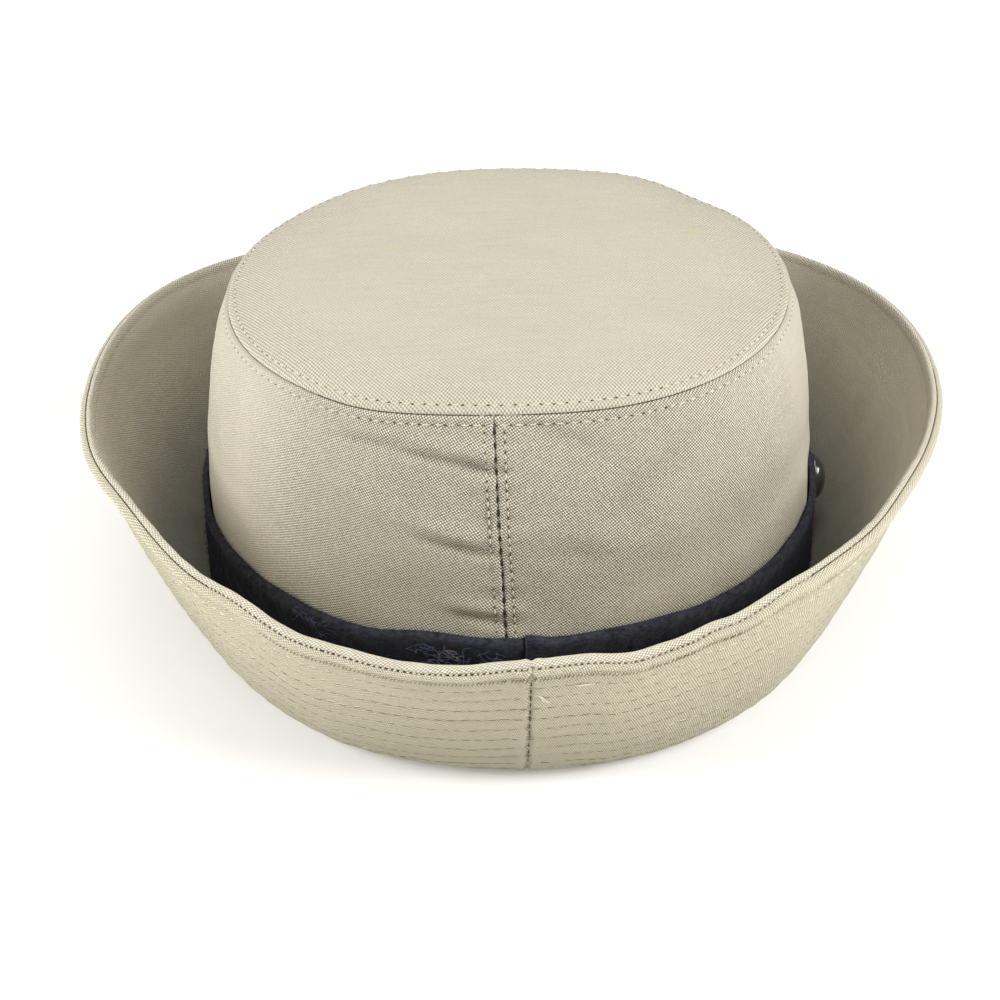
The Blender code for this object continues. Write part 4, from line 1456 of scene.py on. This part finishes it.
def thread_tubes(name, lines, radius, material):
    """Loose threads: a closed, five-sided tube along each line, one mesh for all of them."""
    points, faces, sides = [], [], 5
    angles = np.arange(sides) * 2 * math.pi / sides
    for line in lines:
        first, last = len(points), len(line) - 1
        for i in range(len(line)):
            way = unit(line[min(i + 1, last)] - line[max(i - 1, 0)])
            side = unit(np.cross(way, (0.3, 0.1, 0.95)))
            ring = np.cos(angles)[:, None] * side + np.sin(angles)[:, None] * np.cross(way, side)
            points.extend(line[i] + ring * radius * (0.5 if i in (0, last) else 1.0))
        for i in range(last):
            for k in range(sides):
                a, b = first + i * sides + k, first + i * sides + (k + 1) % sides
                faces.append((a, b, b + sides, a + sides))
        faces.append(tuple(first + k for k in range(sides))[::-1])
        faces.append(tuple(first + last * sides + k for k in range(sides)))
    return cloth_object(name, np.array(points), faces, np.zeros((sum(map(len, faces)), 2)), material)


def frayed_line(rng, turn, share, length):
    """A thread that curls over the band's felt, from a place on it."""
    along = np.linspace(0.0, 1.0, 20)
    bend, beat = rng.uniform(-0.06, 0.06), rng.uniform(3.0, 11.0)
    sway = rng.uniform(0.2, 1.0) * np.sin(beat * along * 1.3 + rng.uniform(0, 6))
    heave = rng.uniform(0.01, 0.045) * np.sin(beat * along + rng.uniform(0, 6))
    turns = turn + length / CROWN_DEGREE * along + sway
    points, _, out = band_at(turns, np.clip(share + bend * along + heave, 0.3, 0.97))
    return points + out * (0.00025 + rng.uniform(0.0002, 0.0007) * np.sin(math.pi * along))[:, None]


def frayed_lines(rng, frays):
    """Curling threads at random places, between the turns and shares of each row of a table."""
    return [
        frayed_line(rng, rng.uniform(*fray.turns), rng.uniform(*fray.shares), rng.uniform(*fray.lengths))
        for fray in frays
        for _ in range(fray.count)
    ]


def pale_end_lines():
    """The pale thread ends on the brim's outer face: a few fibres, nearly side by side, in each."""
    lines = []
    for end in PALE_ENDS:
        for k in range(end.count):
            turns = end.turn + np.linspace(0.0, end.length / RIM_DEGREE, 8) * (1 + 0.3 * k) + 0.10 * k
            backs = end.back + 0.0002 * k + end.slope * np.arange(8) / 7
            line = [brim_face(turns[i:i + 1], backs[i:i + 1]) for i in range(8)]
            lines.append(np.array([points[0, 0] + out[0, 0] * 0.0003 for points, _, out in line]))
    return lines


def make_loose_threads(yarns):
    """Frayed threads on the band left of its lap, and two pale thread ends on the brim's outer face."""
    rng = np.random.default_rng(SEED + 9)
    blue, pink, pale = frayed_lines(rng, BLUE_FRAYS), frayed_lines(rng, PINK_FRAYS), pale_end_lines()
    return (
        (thread_tubes("band_frayed_threads", blue, FRAY_RADIUS, yarns["blue_fibre"]), "navy_band"),
        (thread_tubes("band_pink_threads", pink, FRAY_RADIUS, yarns["pink_fibre"]), "navy_band"),
        (thread_tubes("brim_thread_ends", pale, END_RADIUS, yarns["pale_thread"]), "khaki_brim_under"),
    )


def make_floor():
    """A plain pale floor with a faint glow, wide enough for the camera."""
    nodes = Nodes("white_floor")
    nodes.finish(FLOOR_COLOUR, 0.9, Specular_IOR_Level=0.0, Emission_Color=WHITE,
                 Emission_Strength=FLOOR_GLOW)
    corners = [(x * FLOOR_HALF, y * FLOOR_HALF, 0) for x, y in ((-1, -1), (1, -1), (1, 1), (-1, 1))]
    mesh = bpy.data.meshes.new("white_floor")
    mesh.from_pydata(corners, [], [(0, 1, 2, 3)])
    mesh.materials.append(nodes.material)
    return placed("white_floor", mesh)


def make_lamp(row):
    """A soft, square light that faces the hat."""
    light = bpy.data.lights.new(row.name, "AREA")
    light.size = row.size
    light.energy = row.power
    made = placed(row.name, light)
    made.location = row.place
    made.rotation_euler = (Vector(LAMP_TARGET) - Vector(row.place)).to_track_quat("-Z", "Y").to_euler()


def make_studio():
    """The camera at the photo's angle, soft lights over and beside the hat, and a white surround."""
    camera_data = bpy.data.cameras.new("camera")
    camera_data.sensor_width = 36.0
    camera_data.lens = CAMERA_LENS
    camera_data.clip_end = 20.0
    camera = placed("camera", camera_data)
    rise = math.radians(CAMERA_RISE)
    camera.location = Vector(CAMERA_TARGET) + Vector((0.0, -math.cos(rise), math.sin(rise))) * CAMERA_AWAY
    camera.rotation_euler = (math.pi / 2 - rise, 0.0, 0.0)
    bpy.context.scene.camera = camera
    for row in LAMPS:
        make_lamp(row)
    world = bpy.data.worlds.new("studio")
    world.use_nodes = True
    background = world.node_tree.nodes["Background"]
    background.inputs["Color"].default_value = WHITE
    background.inputs["Strength"].default_value = SURROUND_LIGHT
    bpy.context.scene.world = world
    bpy.context.scene.view_settings.view_transform = "Standard"


def dress(piece, slot, *nodes):
    """Sets a finished piece on the hat, and hides the frame's nodes that it stands for; the slot is not used.
    """
    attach(piece, "root")
    if nodes:
        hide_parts(*nodes)


def main():
    """Makes the hat piece by piece, and sets it on its floor under the lights."""
    yarns = {name: plain_finish(name, yarn.colour, yarn.roughness) for name, yarn in YARNS.items()}
    dress(make_crown_tip(tip_twill()), "khaki_tip", "crown_tip")
    dress(make_crown_side(side_twill()), "khaki_side", "crown_side")
    band = make_hat_band(navy_felt())
    dress(band, "navy_band", "hat_band")
    dress(make_brim_upper(brim_upper_twill()), "khaki_brim_upper", "brim_upper")
    dress(make_brim_under(brim_under_twill()), "khaki_brim_under", "brim_under")
    dress(make_button(nickel()), "button_metal", "side_button")
    for piece, slot in make_stitching(yarns):
        dress(piece, slot)
    dress(make_fuzz(band, yarns["navy_felt_fibre"]), "navy_band")
    for piece, slot in make_loose_threads(yarns):
        dress(piece, slot)
    make_floor()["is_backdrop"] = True
    make_studio()
    boxes = {"cad": CAD_BOX, "visual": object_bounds()}
    {name: [[float(x) for x in corner] for corner in box] for name, box in boxes.items()}


main()
